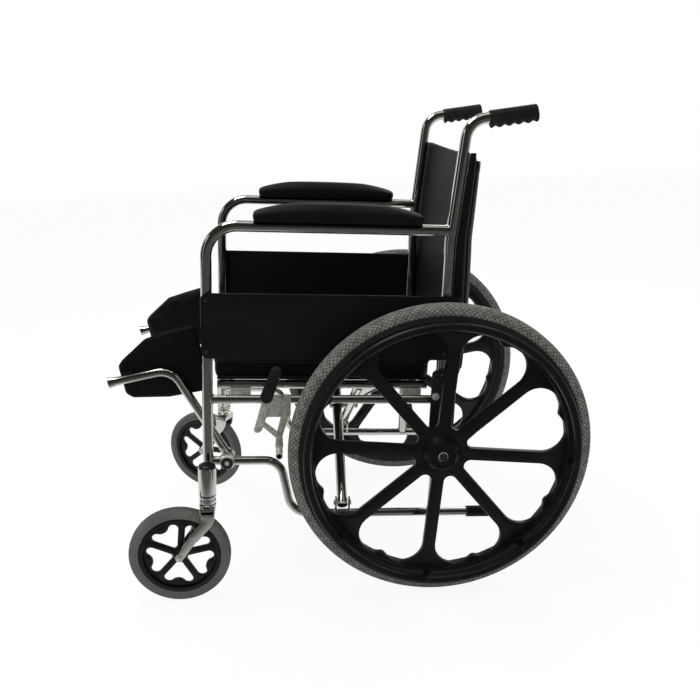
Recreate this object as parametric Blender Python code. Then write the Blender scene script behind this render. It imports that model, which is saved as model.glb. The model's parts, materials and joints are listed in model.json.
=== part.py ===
"""A folding wheelchair with two tube side frames and a scissor cross brace between them.

Metres, +Z up. The chair faces -X and its left side is -Y. The frame leans back on its wheels, so
its pieces are drawn in a leaning frame that starts at the rear axle: "along" runs rearward, "rise"
runs up the posts, and "side" is +Y. The wheels stand upright beside it.
"""

import math

import bmesh
import bpy
from mathutils import Matrix, Vector

# Stance
FRAME_LEAN = math.radians(4.6)
FRAME_WIDTH = 0.450
WHEEL_STANDOFF = 0.075
WHEEL_TRACK = FRAME_WIDTH + 2 * WHEEL_STANDOFF
CASTER_STANDOFF = 0.033
CASTER_TRACK = FRAME_WIDTH + 2 * CASTER_STANDOFF

# Fits
GAP = 0.0003
RUNNING_GAP = 0.0010

# Side frame tubes, in the leaning frame
TUBE_RADIUS = 0.0108
RAIL_RADIUS = 0.009
POST_SPACING = 0.4715
CASTER_ADVANCE = 0.070
WHEELBASE = POST_SPACING + CASTER_ADVANCE
BACK_POST_ALONG = 0.0055
POST_FOOT_RISE = -0.100
POST_FOOT_ADVANCE = 0.0035
ARM_RISE = 0.4305
ARM_BEND_RADIUS = 0.060
UPPER_RAIL_RISE = 0.084
FRONT_RAIL_RISE = -0.050
LOW_RAIL_RISE = -0.172
LOW_RAIL_END = 0.128
RAIL_STEP_FRONT = -0.3200
RAIL_STEP_BACK = -0.2800
RAIL_BEND_RADIUS = 0.039
BACK_BREAK_RISE = 0.412
BACK_TOP_RISE = 0.636
BACK_RECLINE = math.radians(4.95)
BACK_BEND_RADIUS = 0.300
HANDLE_SLOPE = math.radians(9.6)
HANDLE_BEND_RADIUS = 0.042
HANDLE_LENGTH = 0.124
TUBE_SIDES = 12
ARC_STEP = math.radians(15)

# Handles, arm pads and side panels
GRIP_LENGTH = 0.091
GRIP_RADIUS = 0.0133
GRIP_RIDGE = 0.0066
GRIP_RIDGES = 5
GRIP_START = 0.040
PAD_LENGTH = 0.327
PAD_WIDTH = 0.055
PAD_HEIGHT = 0.034
PAD_FRONT = -0.375
TIP_WALL = 0.0025
TIP_LAP = 0.028
PANEL_THICKNESS = 0.004
PANEL_STANDOFF = 0.0025
PANEL_LOW_RISE = 0.173
PANEL_HIGH_RISE = 0.304
PANEL_FRONT_MARGIN = 0.008
PANEL_BACK_MARGIN = 0.028
PANEL_CORNER = 0.014
PANEL_BOSS_RADIUS = 0.006

# Rear wheels
WHEEL_RADIUS = 0.305
TYRE_HEIGHT = 0.035
TYRE_WIDTH = 0.035
TREAD_WIDTH = 0.014
TYRE_SHOULDER = 0.003
WHEEL_SEGMENTS = 48
RIM_WIDTH = 0.030
RIM_BAND = 0.014
WEB_THICKNESS = 0.014
HUB_RADIUS = 0.040
HUB_WIDTH = 0.046
AXLE_RADIUS = 0.006
AXLE_COLLAR_RADIUS = 0.0105
AXLE_HEAD = 0.008
WHEEL_SPOKES = 8
WHEEL_SPOKE_WIDTH = 0.026
WHEEL_SPOKE_TURN = math.radians(8.0)
WHEEL_LOBE_RADIUS = 0.043
WHEEL_LOBE_MARGIN = 0.0155
WHEEL_HEART_TIP = 0.013
HAND_RIM_RADIUS = 0.2685
HAND_RIM_TUBE = 0.0080
HAND_RIM_STANDOFF = 0.0235
HAND_RIM_TABS = 8
HAND_RIM_TAB_WIDTH = 0.014
HAND_RIM_TAB_INNER = 0.0085
HAND_RIM_TAB_OUTER = 0.0015

# Casters
CASTER_RADIUS = 0.104
CASTER_TYRE_HEIGHT = 0.020
CASTER_TYRE_WIDTH = 0.028
CASTER_TREAD_WIDTH = 0.012
CASTER_SEGMENTS = 32
CASTER_RIM_WIDTH = 0.022
CASTER_RIM_BAND = 0.009
CASTER_WEB_THICKNESS = 0.009
CASTER_HUB_RADIUS = 0.017
CASTER_SPOKES = 5
CASTER_SPOKE_TURN = {"left": math.radians(81), "right": 0.0}
CASTER_SPOKE_WIDTH = 0.0110
CASTER_LOBE_RADIUS = 0.0165
CASTER_LOBE_MARGIN = 0.0035
CASTER_HEART_TIP = 0.0080
CASTER_AXLE_RADIUS = 0.004
CASTER_BOLT_RADIUS = 0.0075
CASTER_BOLT_HEAD = 0.0045
CASTER_TRAIL = 0.058
CASTER_TURN = {"left": 0.0, "right": math.radians(25.0)}
STEM_RADIUS = 0.0065
STEM_TOP_RISE = -0.060
HOUSING_RADIUS = 0.0182
HOUSING_TOP_RISE = -0.042
HOUSING_CAP_RISE = -0.048
HOUSING_FOOT_RISE = -0.108
HOUSING_LUG = 0.016
FORK_COLLAR_RADIUS = 0.013
FORK_SEAT_RADIUS = 0.0155
CROWN_TOP_RISE = -0.133
CROWN_THICKNESS = 0.013
CROWN_REACH = 0.016
FORK_PLATE = 0.004
FORK_SIDE_GAP = 0.004
FORK_EYE_RADIUS = 0.012
FORK_SHANK_RADIUS = 0.0105

# Cross brace and seat
BRACE_ALONG = -0.188
BRACE_SPACING = 0.031
BRACE_TUBE_RADIUS = 0.011
BRACE_PIVOT_RISE = -0.148
BRACE_HEEL = 0.006
CLEVIS_PLATE = 0.004
CLEVIS_HALF_WIDTH = 0.011
CLEVIS_TOP = 0.013
CENTRE_BOLT_RADIUS = 0.004
CENTRE_BOLT_HEAD_RADIUS = 0.008
CENTRE_BOLT_HEAD = 0.006
GUSSET_CLEARANCE = 0.012
GUSSET_SPREAD = 0.048
GUSSET_THICKNESS = 0.003
GUSSET_MARGIN = 0.004
SEAT_TUBE_RADIUS = 0.009
SEAT_TUBE_INSET = 0.030
SEAT_TUBE_SPACING = FRAME_WIDTH - 2 * SEAT_TUBE_INSET
SEAT_TUBE_RISE = 0.106
SEAT_TUBE_FRONT = -0.445
SEAT_TUBE_BACK = -0.020
SADDLE_LENGTH = 0.040
SADDLE_PLACES = {"front": -0.400, "rear": -0.052}
SEAT_FRONT = -0.455
SEAT_BACK = -0.012
SEAT_OVERHANG = 0.004
SEAT_HALF_WIDTH = SEAT_TUBE_SPACING / 2 + SEAT_OVERHANG
SEAT_EDGE_HEIGHT = 0.046
SEAT_CROWN = 0.010
SEAT_DRAW_IN = 0.006
SEAT_CHANNELS = 4
SEAT_CHANNEL_DEPTH = 0.003

# Back upholstery
BACK_LOW_RISE = 0.128
BACK_HIGH_RISE = 0.578
BACK_OVERHANG = 0.009
BACK_HALF_WIDTH = FRAME_WIDTH / 2 + BACK_OVERHANG
BACK_THICKNESS = 0.026
BACK_TAPER = 0.008
BACK_SAG = 0.022
SLING_CLEARANCE = 0.0010
BACK_DIP = 0.008
POCKET_TOP_RISE = 0.563
POCKET_LOW_RISE = 0.150
POCKET_DEPTH = 0.012
POCKET_INSET = 0.003
POCKET_HALF_WIDTH = FRAME_WIDTH / 2 - POCKET_INSET

# Axle plates
AXLE_PLATE_THICKNESS = 0.005
AXLE_PLATE_FRONT = 0.021
AXLE_PLATE_BACK = 0.030
AXLE_PLATE_LOW_RISE = -0.042
AXLE_PLATE_HIGH_RISE = 0.152

# Parking brakes, in layers outward from the upper rail
BRAKE_PLATE = 0.0028
BRACKET_LOW_RISE = UPPER_RAIL_RISE - 0.034
BRACKET_HIGH_RISE = UPPER_RAIL_RISE + 0.013
RAIL_STANDOFF = 0.0005
RIVET_RADIUS = 0.0025
RIVET_HEAD_RADIUS = 0.0050
RIVET_HEAD = 0.0015
LINK_PLAY = 0.0008
LEVER_PIVOT = (-0.3655, 0.0260)
LEVER_PIN = (-0.3570, 0.0400)
LEVER_TOP = (-0.3290, 0.1500)
LEVER_HALF_WIDTH = 0.0070
LEVER_GRIP_FOOT = 0.088
LEVER_GRIP_DEPTH = 0.017
LEVER_GRIP_RADIUS = 0.0125
LEVER_TIP_RADIUS = 0.0105
BRAKE_EYE_RADIUS = 0.0055
SHOE_PIVOT = (-0.3080, 0.0660)
SHOE_PIN = (-0.3215, 0.0100)
SHOE_PLACE = (-0.3215, -0.0120)
SHOE_RADIUS = 0.0070
SHOE_LENGTH = 0.068

# Leg supports
LEG_INSET = 0.028
LEG_SIDE = FRAME_WIDTH / 2 - LEG_INSET
LEG_PIVOT = (-0.4270, FRONT_RAIL_RISE)
LEG_TUBE_RADIUS = 0.0090
LEG_KNEE = (-0.5375, 0.1370)
LEG_END = (-0.6600, 0.1080)
LEG_BEND_RADIUS = 0.042
LEG_FLARE = 0.0025
LEG_FLARE_LENGTH = 0.016
LEG_BORE = 0.0068
LEG_BORE_DEPTH = 0.045
LEG_EYE_RADIUS = 0.0130
LEG_BOLT_RADIUS = 0.004
LEG_BOLT_HEAD_RADIUS = 0.0075
LEG_BOLT_HEAD = 0.004
CLAMP_HALF_HEIGHT = 0.016
CLAMP_LENGTH = 0.028
CALF_PAD_THICKNESS = 0.0235
CALF_PAD_FRONT = 0.084
CALF_PAD_BACK = 0.0785
CALF_PAD_TOP = 0.0765
CALF_PAD_FOOT = -0.064
CALF_PAD_NOSE_TOP = 0.025
CALF_PAD_NOSE_FOOT = -0.034
CALF_PAD_CORNER = 0.012
CALF_PAD_CHAMFER = 0.068
CALF_PAD_PLACE = 0.105
CALF_PAD_EDGE = 0.005
CALF_CLIP_SPACING = 0.080
CALF_CLIP_LENGTH = 0.016
CALF_CLIP_WALL = 0.003

SIDES = {"left": -1, "right": 1}
AXLE_HEIGHT = WHEEL_RADIUS * math.cos(math.pi / WHEEL_SEGMENTS)
CASTER_HEIGHT = CASTER_RADIUS * math.cos(math.pi / CASTER_SEGMENTS)
POST_SIDE = FRAME_WIDTH / 2
FRAME_FACE = POST_SIDE + TUBE_RADIUS
FRONT_POST_ALONG = BACK_POST_ALONG - POST_SPACING
WHEEL_SIDE = WHEEL_TRACK / 2
CASTER_SIDE = CASTER_TRACK / 2


def leaning(along, rise):
    """The level X, from the rear axle, and Z, from the floor, of a place in the leaning frame."""
    x = along * math.cos(FRAME_LEAN) + rise * math.sin(FRAME_LEAN)
    z = AXLE_HEIGHT - along * math.sin(FRAME_LEAN) + rise * math.cos(FRAME_LEAN)
    return x, z


def unleaned(x, z):
    """The leaning frame's along and rise of a level X, from the rear axle, and Z, from the floor."""
    down = z - AXLE_HEIGHT
    return (
        x * math.cos(FRAME_LEAN) - down * math.sin(FRAME_LEAN),
        x * math.sin(FRAME_LEAN) + down * math.cos(FRAME_LEAN),
    )


LEG_SLOPE = math.atan2(LEG_KNEE[1] - LEG_END[1], LEG_KNEE[0] - LEG_END[0])
LEG_MOUTH_RADIUS = LEG_TUBE_RADIUS + LEG_FLARE
FRONT_REACH = leaning(
    LEG_END[0] - LEG_MOUTH_RADIUS * math.sin(LEG_SLOPE),
    LEG_END[1] + LEG_MOUTH_RADIUS * math.cos(LEG_SLOPE),
)[0]
AXLE_X = -(FRONT_REACH + AXLE_HEIGHT) / 2
CASTER_ALONG, CASTER_RISE = unleaned(-WHEELBASE, CASTER_HEIGHT)
STEM_ALONG = CASTER_ALONG + CASTER_TRAIL

for old in list(bpy.data.objects):
    bpy.data.objects.remove(old, do_unlink=True)


def material(name, colour, roughness, metallic=0.0):
    surface = bpy.data.materials.new(name)
    surface.use_nodes = True
    shader = surface.node_tree.nodes["Principled BSDF"]
    shader.inputs["Base Color"].default_value = (*colour, 1.0)
    shader.inputs["Roughness"].default_value = roughness
    shader.inputs["Metallic"].default_value = metallic
    return surface


CHROME = material("chrome_steel", (0.62, 0.61, 0.59), 0.18, 1.0)
ZINC = material("zinc_steel", (0.66, 0.66, 0.65), 0.38, 1.0)
BLACK_STEEL = material("black_steel", (0.018, 0.018, 0.019), 0.42)
BLACK_PLASTIC = material("black_plastic", (0.014, 0.014, 0.016), 0.36)
BLACK_RUBBER = material("black_rubber", (0.012, 0.012, 0.012), 0.62)
BLACK_VINYL = material("black_vinyl", (0.013, 0.013, 0.014), 0.48)
GREY_RUBBER = material("grey_rubber", (0.23, 0.23, 0.22), 0.78)


def empty(name, location, lean=0.0, parent=None):
    """A named place that pieces are hung from: a joint's axis, or the leaning frame."""
    place = bpy.data.objects.new(name, None)
    place.location = location
    place.rotation_euler = (0.0, lean, 0.0)
    place.parent = parent
    bpy.context.scene.collection.objects.link(place)
    return place


LEAN = empty("leaning_frame", (AXLE_X, 0.0, AXLE_HEIGHT), FRAME_LEAN)


def piece(name, bm, surface=None, parent=LEAN, smooth=40):
    """An object from a bmesh, drawn in its parent's frame. A helper is given no surface."""
    mesh = bpy.data.meshes.new(name)
    bmesh.ops.recalc_face_normals(bm, faces=bm.faces)
    bm.to_mesh(mesh)
    bm.free()
    mesh.shade_smooth()
    mesh.set_sharp_from_angle(angle=math.radians(smooth))
    made = bpy.data.objects.new(name, mesh)
    made.parent = parent
    bpy.context.scene.collection.objects.link(made)
    if surface:
        mesh.materials.append(surface)
    return made


def combine(target, bm, operation):
    """Joins a shape to an object, or cuts it out, with a hidden helper in the same frame."""
    count = len(target.modifiers)
    helper = piece(f"{target.name}_helper_{count}", bm, parent=target.parent)
    helper.hide_render = True
    helper.display_type = "WIRE"
    change = target.modifiers.new(f"{operation.lower()}_{count}", "BOOLEAN")
    change.operation = operation
    change.solver = "EXACT"
    change.object = helper


def prism(outline, start, end, normal="Y"):
    """A straight-sided solid: an outline across one axis, from start to end along it."""
    spread = {
        "X": lambda a, b, t: (t, a, b),
        "Y": lambda a, b, t: (a, t, b),
        "Z": lambda a, b, t: (a, b, t),
    }[normal]
    bm = bmesh.new()
    face = bm.faces.new([bm.verts.new(spread(a, b, start)) for a, b in outline])
    grown = bmesh.ops.extrude_face_region(bm, geom=[face])["geom"]
    moved = [part for part in grown if isinstance(part, bmesh.types.BMVert)]
    bmesh.ops.translate(bm, verts=moved, vec=Vector(spread(0.0, 0.0, end - start)))
    bmesh.ops.recalc_face_normals(bm, faces=bm.faces)
    return bm


def turned(profile, segments, axis="Y", centre=(0.0, 0.0, 0.0), turn=None):
    """A solid of revolution from (radius, distance along the axis) points, taken in order.

    A profile that starts and ends on the axis is a solid one, any other is a ring. One flat of
    the outside faces straight down.
    """
    bm = bmesh.new()
    start = math.pi / segments if turn is None else turn
    verts = [bm.verts.new((r * math.sin(start), t, -r * math.cos(start))) for r, t in profile]
    following = zip(profile + profile[:1], profile[1:] + profile[:1], range(len(verts)))
    edges = [
        bm.edges.new((verts[k], verts[(k + 1) % len(verts)]))
        for here, after, k in following
        if here[0] > 0 or after[0] > 0
    ]
    bmesh.ops.spin(
        bm, geom=verts + edges, cent=(0, 0, 0), axis=(0, 1, 0), angle=math.tau, steps=segments
    )
    bmesh.ops.remove_doubles(bm, verts=bm.verts, dist=1e-6)
    upright = {
        "X": Matrix.Rotation(-math.pi / 2, 3, "Z"),
        "Y": Matrix.Identity(3),
        "Z": Matrix.Rotation(math.pi / 2, 3, "X"),
    }[axis]
    bmesh.ops.rotate(bm, verts=bm.verts, cent=(0, 0, 0), matrix=upright)
    bmesh.ops.translate(bm, verts=bm.verts, vec=Vector(centre))
    bmesh.ops.recalc_face_normals(bm, faces=bm.faces)
    return bm


def stepped(stretches, segments, axis="Y", centre=(0.0, 0.0, 0.0), side=1):
    """A round bar in steps, from (radius, end) stretches after a start: a shaft, pin, bolt or bore."""
    start, steps = stretches[0], stretches[1:]
    profile = [(0.0, side * start)]
    for radius, end in steps:
        profile += [(radius, side * start), (radius, side * end)]
        start = end
    return turned(profile + [(0.0, side * start)], segments, axis, centre)


def rounded(corners, radii, step=ARC_STEP):
    """Points along straight runs whose corners are arcs of the given radii."""
    corners = [Vector(corner) for corner in corners]
    path = [corners[0]]
    for before, corner, after, radius in zip(corners, corners[1:], corners[2:], radii):
        into = (corner - before).normalized()
        out = (after - corner).normalized()
        bend = into.angle(out)
        centre = corner + (out - into).normalized() * radius / math.cos(bend / 2)
        start = corner - into * radius * math.tan(bend / 2) - centre
        count = max(2, round(bend / step))
        for k in range(count + 1):
            path.append(centre + Matrix.Rotation(bend * k / count, 3, into.cross(out)) @ start)
    return path + [corners[-1]]


def tube(path, radius, sides=TUBE_SIDES, flat=(0.0, 1.0, 0.0)):
    """A round bar along a path that lies flat across one axis; radius is one, or one for each."""
    path = [Vector(point) for point in path]
    radii = radius if isinstance(radius, list) else [radius] * len(path)
    across = Vector(flat)
    bm = bmesh.new()
    rings = []
    for k, point in enumerate(path):
        into = (point - path[k - 1]).normalized() if k else None
        out = (path[k + 1] - point).normalized() if k + 1 < len(path) else None
        heading = ((into or out) + (out or into)).normalized()
        mitre = 1 / heading.dot(out or into)
        outward = heading.cross(across) * mitre
        rings.append([])
        for n in range(sides):
            angle = math.tau * (n + 0.5) / sides
            offset = (across * math.cos(angle) + outward * math.sin(angle)) * radii[k]
            rings[-1].append(bm.verts.new(point + offset))
    for here, after in zip(rings, rings[1:]):
        for n in range(sides):
            m = (n + 1) % sides
            bm.faces.new((here[n], here[m], after[m], after[n]))
    bm.faces.new(rings[0])
    bm.faces.new(rings[-1])
    bmesh.ops.recalc_face_normals(bm, faces=bm.faces)
    return bm


def side_path(corners, side, y):
    return [(along, side * y, rise) for along, rise in corners]


def arc_points(centre, radius, start, end, count):
    """Points on an arc from one angle to another, both included."""
    steps = [start + (end - start) * k / (count - 1) for k in range(count)]
    return [(centre[0] + radius * math.cos(a), centre[1] + radius * math.sin(a)) for a in steps]


def rounded_box(low, high, radius, corner_points=3):
    """The outline of an upright rectangle with rounded corners, from its two extreme corners."""
    (a0, b0), (a1, b1) = low, high
    corners = ((a1, b1, 0), (a0, b1, 90), (a0, b0, 180), (a1, b0, 270))
    outline = []
    for a, b, turn in corners:
        inner = (a - math.copysign(radius, a - (a0 + a1) / 2), b - math.copysign(radius, b - (b0 + b1) / 2))
        start = math.radians(turn)
        outline += arc_points(inner, radius, start, start + math.pi / 2, corner_points)
    return outline


def hull(discs, arc_count=7):
    """The outline round discs (along, rise, radius) that follow each other like beads on a string."""
    outline = []
    loop = list(discs) + list(discs[-2:0:-1])
    for before, disc, after in zip(loop[-1:] + loop[:-1], loop, loop[1:] + loop[:1]):
        leave = tangent_angle(disc, after)
        arrive = tangent_angle(before, disc)
        sweep = (leave - arrive) % math.tau
        if sweep > math.radians(200):
            outline.append(inner_corner(before, disc, after))
            continue
        count = max(2, round(arc_count * sweep / math.pi))
        outline += arc_points(disc[:2], disc[2], arrive, arrive + sweep, count)
    return outline


def tangent_angle(first, second):
    """The direction, from either centre, of the outer tangent that runs from one disc to the next."""
    run = math.hypot(second[0] - first[0], second[1] - first[1])
    heading = math.atan2(second[1] - first[1], second[0] - first[0])
    return heading - math.acos((first[2] - second[2]) / run)


def inner_corner(before, disc, after):
    """Where two tangents meet on the inside of a bend."""
    arrive = tangent_angle(before, disc)
    leave = tangent_angle(disc, after)
    half = ((leave - arrive) % math.tau - math.tau) / 2
    reach = disc[2] / math.cos(half)
    middle = arrive + half
    return disc[0] + reach * math.cos(middle), disc[1] + reach * math.sin(middle)


def heart(middle, spokes, spoke_width, lobe_radius, reach, tip_radius, lobe_points):
    """One heart-shaped window between two spokes, as an outline round the wheel's centre.

    Its sides run beside the spokes, its two lobes end at the reach, and its tip is rounded.
    """
    half_sector = math.pi / spokes
    half_width = spoke_width / 2
    lobe_distance = reach - lobe_radius
    lobe_angle = half_sector - math.asin((half_width + lobe_radius) / lobe_distance)
    lobe = (lobe_distance * math.cos(lobe_angle), lobe_distance * math.sin(lobe_angle))
    tip = ((half_width + tip_radius) / math.sin(half_sector), 0.0)
    cusp_angle = math.pi - math.acos(lobe[1] / lobe_radius) - math.pi / 2
    side_normal = half_sector + math.pi / 2
    upper = arc_points(tip, tip_radius, math.pi, side_normal, 3)
    upper += arc_points(lobe, lobe_radius, side_normal, -cusp_angle, lobe_points)
    lower = [(a, -b) for a, b in reversed(upper[1:-1])]
    turn_cos, turn_sin = math.cos(middle), math.sin(middle)
    return [(a * turn_cos - b * turn_sin, a * turn_sin + b * turn_cos) for a, b in upper + lower]


def windows(spokes, first, thickness, **form):
    """All of a wheel's heart-shaped windows as one cutter through its thickness."""
    cutter = bmesh.new()
    for k in range(spokes):
        middle = first + math.tau * (k + 0.5) / spokes
        single = prism(heart(middle, spokes, **form), -thickness, thickness)
        mesh = bpy.data.meshes.new("window")
        single.to_mesh(mesh)
        single.free()
        cutter.from_mesh(mesh)
        bpy.data.meshes.remove(mesh)
    return cutter


def front_post_along(rise):
    """The front post's place: its foot is set a little further forward than its top."""
    return FRONT_POST_ALONG + POST_FOOT_ADVANCE * (rise - POST_FOOT_RISE) / (ARM_RISE - POST_FOOT_RISE)


def back_post_along(rise):
    return BACK_POST_ALONG + max(0.0, rise - BACK_BREAK_RISE) * math.tan(BACK_RECLINE)


def handle_point(distance):
    """A place on the push handle's axis, this far from the corner above the back post."""
    corner = back_post_along(BACK_TOP_RISE)
    return corner + distance * math.cos(HANDLE_SLOPE), BACK_TOP_RISE + distance * math.sin(HANDLE_SLOPE)


def make_frame_tubes(name, side):
    weld = TUBE_RADIUS + GAP
    arm_end = back_post_along(ARM_RISE - TUBE_RADIUS) - weld / math.cos(BACK_RECLINE)
    front = [
        (front_post_along(POST_FOOT_RISE), POST_FOOT_RISE),
        (front_post_along(ARM_RISE), ARM_RISE),
        (arm_end, ARM_RISE),
    ]
    path = rounded(side_path(front, side, POST_SIDE), [ARM_BEND_RADIUS])
    piece(f"front_post_{name}", tube(path, TUBE_RADIUS), CHROME)

    back = [
        (BACK_POST_ALONG, LOW_RAIL_RISE + RAIL_RADIUS + GAP),
        (BACK_POST_ALONG, BACK_BREAK_RISE),
        (back_post_along(BACK_TOP_RISE), BACK_TOP_RISE),
        handle_point(HANDLE_LENGTH),
    ]
    bends = [BACK_BEND_RADIUS, HANDLE_BEND_RADIUS]
    path = rounded(side_path(back, side, POST_SIDE), bends, math.radians(13))
    piece(f"back_post_{name}", tube(path, TUBE_RADIUS), CHROME)

    ends = (front_post_along(UPPER_RAIL_RISE) + weld, BACK_POST_ALONG - weld)
    path = [(along, side * POST_SIDE, UPPER_RAIL_RISE) for along in ends]
    piece(f"upper_rail_{name}", tube(path, RAIL_RADIUS), CHROME)

    low = [
        (front_post_along(FRONT_RAIL_RISE) + weld, FRONT_RAIL_RISE),
        (RAIL_STEP_FRONT, FRONT_RAIL_RISE),
        (RAIL_STEP_BACK, LOW_RAIL_RISE),
        (LOW_RAIL_END, LOW_RAIL_RISE),
    ]
    path = rounded(side_path(low, side, POST_SIDE), [RAIL_BEND_RADIUS] * 2)
    rail = piece(f"lower_rail_{name}", tube(path, RAIL_RADIUS), CHROME)
    arm_along = BRACE_ALONG + BRACE_SPACING if side > 0 else BRACE_ALONG
    clevis = [
        (side * (POST_SIDE + CLEVIS_HALF_WIDTH), LOW_RAIL_RISE),
        (side * (POST_SIDE + CLEVIS_HALF_WIDTH), BRACE_PIVOT_RISE),
        (side * (POST_SIDE + CLEVIS_HALF_WIDTH / 2), BRACE_PIVOT_RISE + CLEVIS_TOP),
        (side * (POST_SIDE - CLEVIS_HALF_WIDTH / 2), BRACE_PIVOT_RISE + CLEVIS_TOP),
        (side * (POST_SIDE - CLEVIS_HALF_WIDTH), BRACE_PIVOT_RISE),
        (side * (POST_SIDE - CLEVIS_HALF_WIDTH), LOW_RAIL_RISE),
    ]
    inner = BRACE_TUBE_RADIUS + RUNNING_GAP
    for facing in (-1, 1):
        start = arm_along + facing * inner
        combine(rail, prism(clevis, start, start + facing * CLEVIS_PLATE, "X"), "UNION")


def make_rail_tip(name, side):
    wall = TIP_WALL
    bore = RAIL_RADIUS + GAP
    depth = LOW_RAIL_END - TIP_LAP
    profile = [
        (0.0, LOW_RAIL_END + GAP),
        (bore, LOW_RAIL_END + GAP),
        (bore, depth),
        (bore + wall, depth),
        (bore + wall, LOW_RAIL_END + 0.004),
        (bore, LOW_RAIL_END + 0.006),
        (0.0, LOW_RAIL_END + 0.006),
    ]
    centre = (0.0, side * POST_SIDE, LOW_RAIL_RISE)
    piece(f"rail_tip_{name}", turned(profile, TUBE_SIDES, "X", centre), BLACK_RUBBER)


def make_push_grip(name, side):
    """A sleeve over the handle's end, with finger ridges underneath."""
    sides = 10
    bm = bmesh.new()
    rings = []
    inner = TUBE_RADIUS + 2 * GAP
    tube_reach = HANDLE_LENGTH - GRIP_START + GAP
    stations = [(GRIP_LENGTH * k / (2 * GRIP_RIDGES), k % 2 == 0) for k in range(2 * GRIP_RIDGES + 1)]
    for distance, ridge in stations:
        rings.append((distance, GRIP_RADIUS, GRIP_RIDGE if ridge else 0.0))
    rings = [(0.0, inner, 0.0)] + rings
    rings = [(tube_reach, inner, 0.0)] + rings
    loops = []
    for distance, radius, ridge in rings:
        along, rise = handle_point(GRIP_START + distance)
        loop = []
        for n in range(sides):
            angle = math.tau * (n + 0.5) / sides
            down = max(0.0, -math.sin(angle))
            reach = radius + ridge * down
            loop.append(
                bm.verts.new(
                    (
                        along - reach * math.sin(angle) * math.sin(HANDLE_SLOPE),
                        side * POST_SIDE + reach * math.cos(angle),
                        rise + reach * math.sin(angle) * math.cos(HANDLE_SLOPE),
                    )
                )
            )
        loops.append(loop)
    for here, after in zip(loops, loops[1:]):
        for n in range(sides):
            m = (n + 1) % sides
            bm.faces.new((here[n], here[m], after[m], after[n]))
    bm.faces.new(loops[0])
    bm.faces.new(loops[-1])
    piece(f"push_grip_{name}", bm, BLACK_RUBBER)


def soft_block(length, width, height_at, columns, rows, corner, draw_in, seam):
    """A padded block, crowned on top and flat below, with drawn-in sides and a waist seam.

    height_at gives the top's height at a place that runs from -1 to 1 in length and in width.
    """
    bm = bmesh.new()

    def place(i, j):
        a = 2.0 * i / columns - 1.0
        b = 2.0 * j / rows - 1.0
        pull = 1.0 - draw_in
        x = a * length / 2 * (1.0 - corner * b * b * a * a) * (pull + (1 - pull) * b * b)
        y = b * width / 2 * (1.0 - corner * a * a * b * b) * (pull + (1 - pull) * a * a)
        return a, b, x, y

    top = {}
    bottom = {}
    for i in range(columns + 1):
        for j in range(rows + 1):
            a, b, x, y = place(i, j)
            top[i, j] = bm.verts.new((x, y, height_at(a, b)))
            bottom[i, j] = bm.verts.new((x * seam, y * seam, 0.0))
    for layer in (top, bottom):
        for i in range(columns):
            for j in range(rows):
                bm.faces.new((layer[i, j], layer[i + 1, j], layer[i + 1, j + 1], layer[i, j + 1]))
    border = [(i, 0) for i in range(columns)] + [(columns, j) for j in range(rows)]
    border += [(i, rows) for i in range(columns, 0, -1)] + [(0, j) for j in range(rows, 0, -1)]
    waist = {}
    for key in border:
        upper, lower = top[key].co, bottom[key].co
        swell = 1.0 + (1.0 - seam)
        waist[key] = bm.verts.new((upper.x * swell, upper.y * swell, (upper.z + lower.z) / 2))
    for here, after in zip(border, border[1:] + border[:1]):
        bm.faces.new((top[here], top[after], waist[after], waist[here]))
        bm.faces.new((waist[here], waist[after], bottom[after], bottom[here]))
    bmesh.ops.recalc_face_normals(bm, faces=bm.faces)
    return bm


def make_arm_pad(name, side):
    def height_at(a, b):
        taper = 1.0 - 0.35 * a**4 - 0.12 * a**2
        return PAD_HEIGHT * taper * (1.0 - 0.28 * b * b)

    bm = soft_block(PAD_LENGTH, PAD_WIDTH * 0.96, height_at, 8, 4, 0.10, 0.0, 0.975)
    centre = (PAD_FRONT + PAD_LENGTH / 2, side * POST_SIDE, ARM_RISE + TUBE_RADIUS + GAP)
    bmesh.ops.translate(bm, verts=bm.verts, vec=Vector(centre))
    piece(f"arm_pad_{name}", bm, BLACK_VINYL, smooth=60)


def make_side_panel(name, side):
    inner = FRAME_FACE + PANEL_STANDOFF
    low = (FRONT_POST_ALONG - PANEL_FRONT_MARGIN, PANEL_LOW_RISE)
    high = (BACK_POST_ALONG + PANEL_BACK_MARGIN, PANEL_HIGH_RISE)
    outline = rounded_box(low, high, PANEL_CORNER, 4)
    bm = prism(outline, side * inner, side * (inner + PANEL_THICKNESS))
    panel = piece(f"side_panel_{name}", bm, BLACK_PLASTIC)
    for along_at in (front_post_along, back_post_along):
        for rise in (low[1] + PANEL_CORNER, high[1] - PANEL_CORNER):
            ends = [FRAME_FACE + GAP, (PANEL_BOSS_RADIUS, inner + PANEL_THICKNESS / 2)]
            boss = stepped(ends, 8, "Y", (along_at(rise), 0.0, rise), side)
            combine(panel, boss, "UNION")


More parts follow.
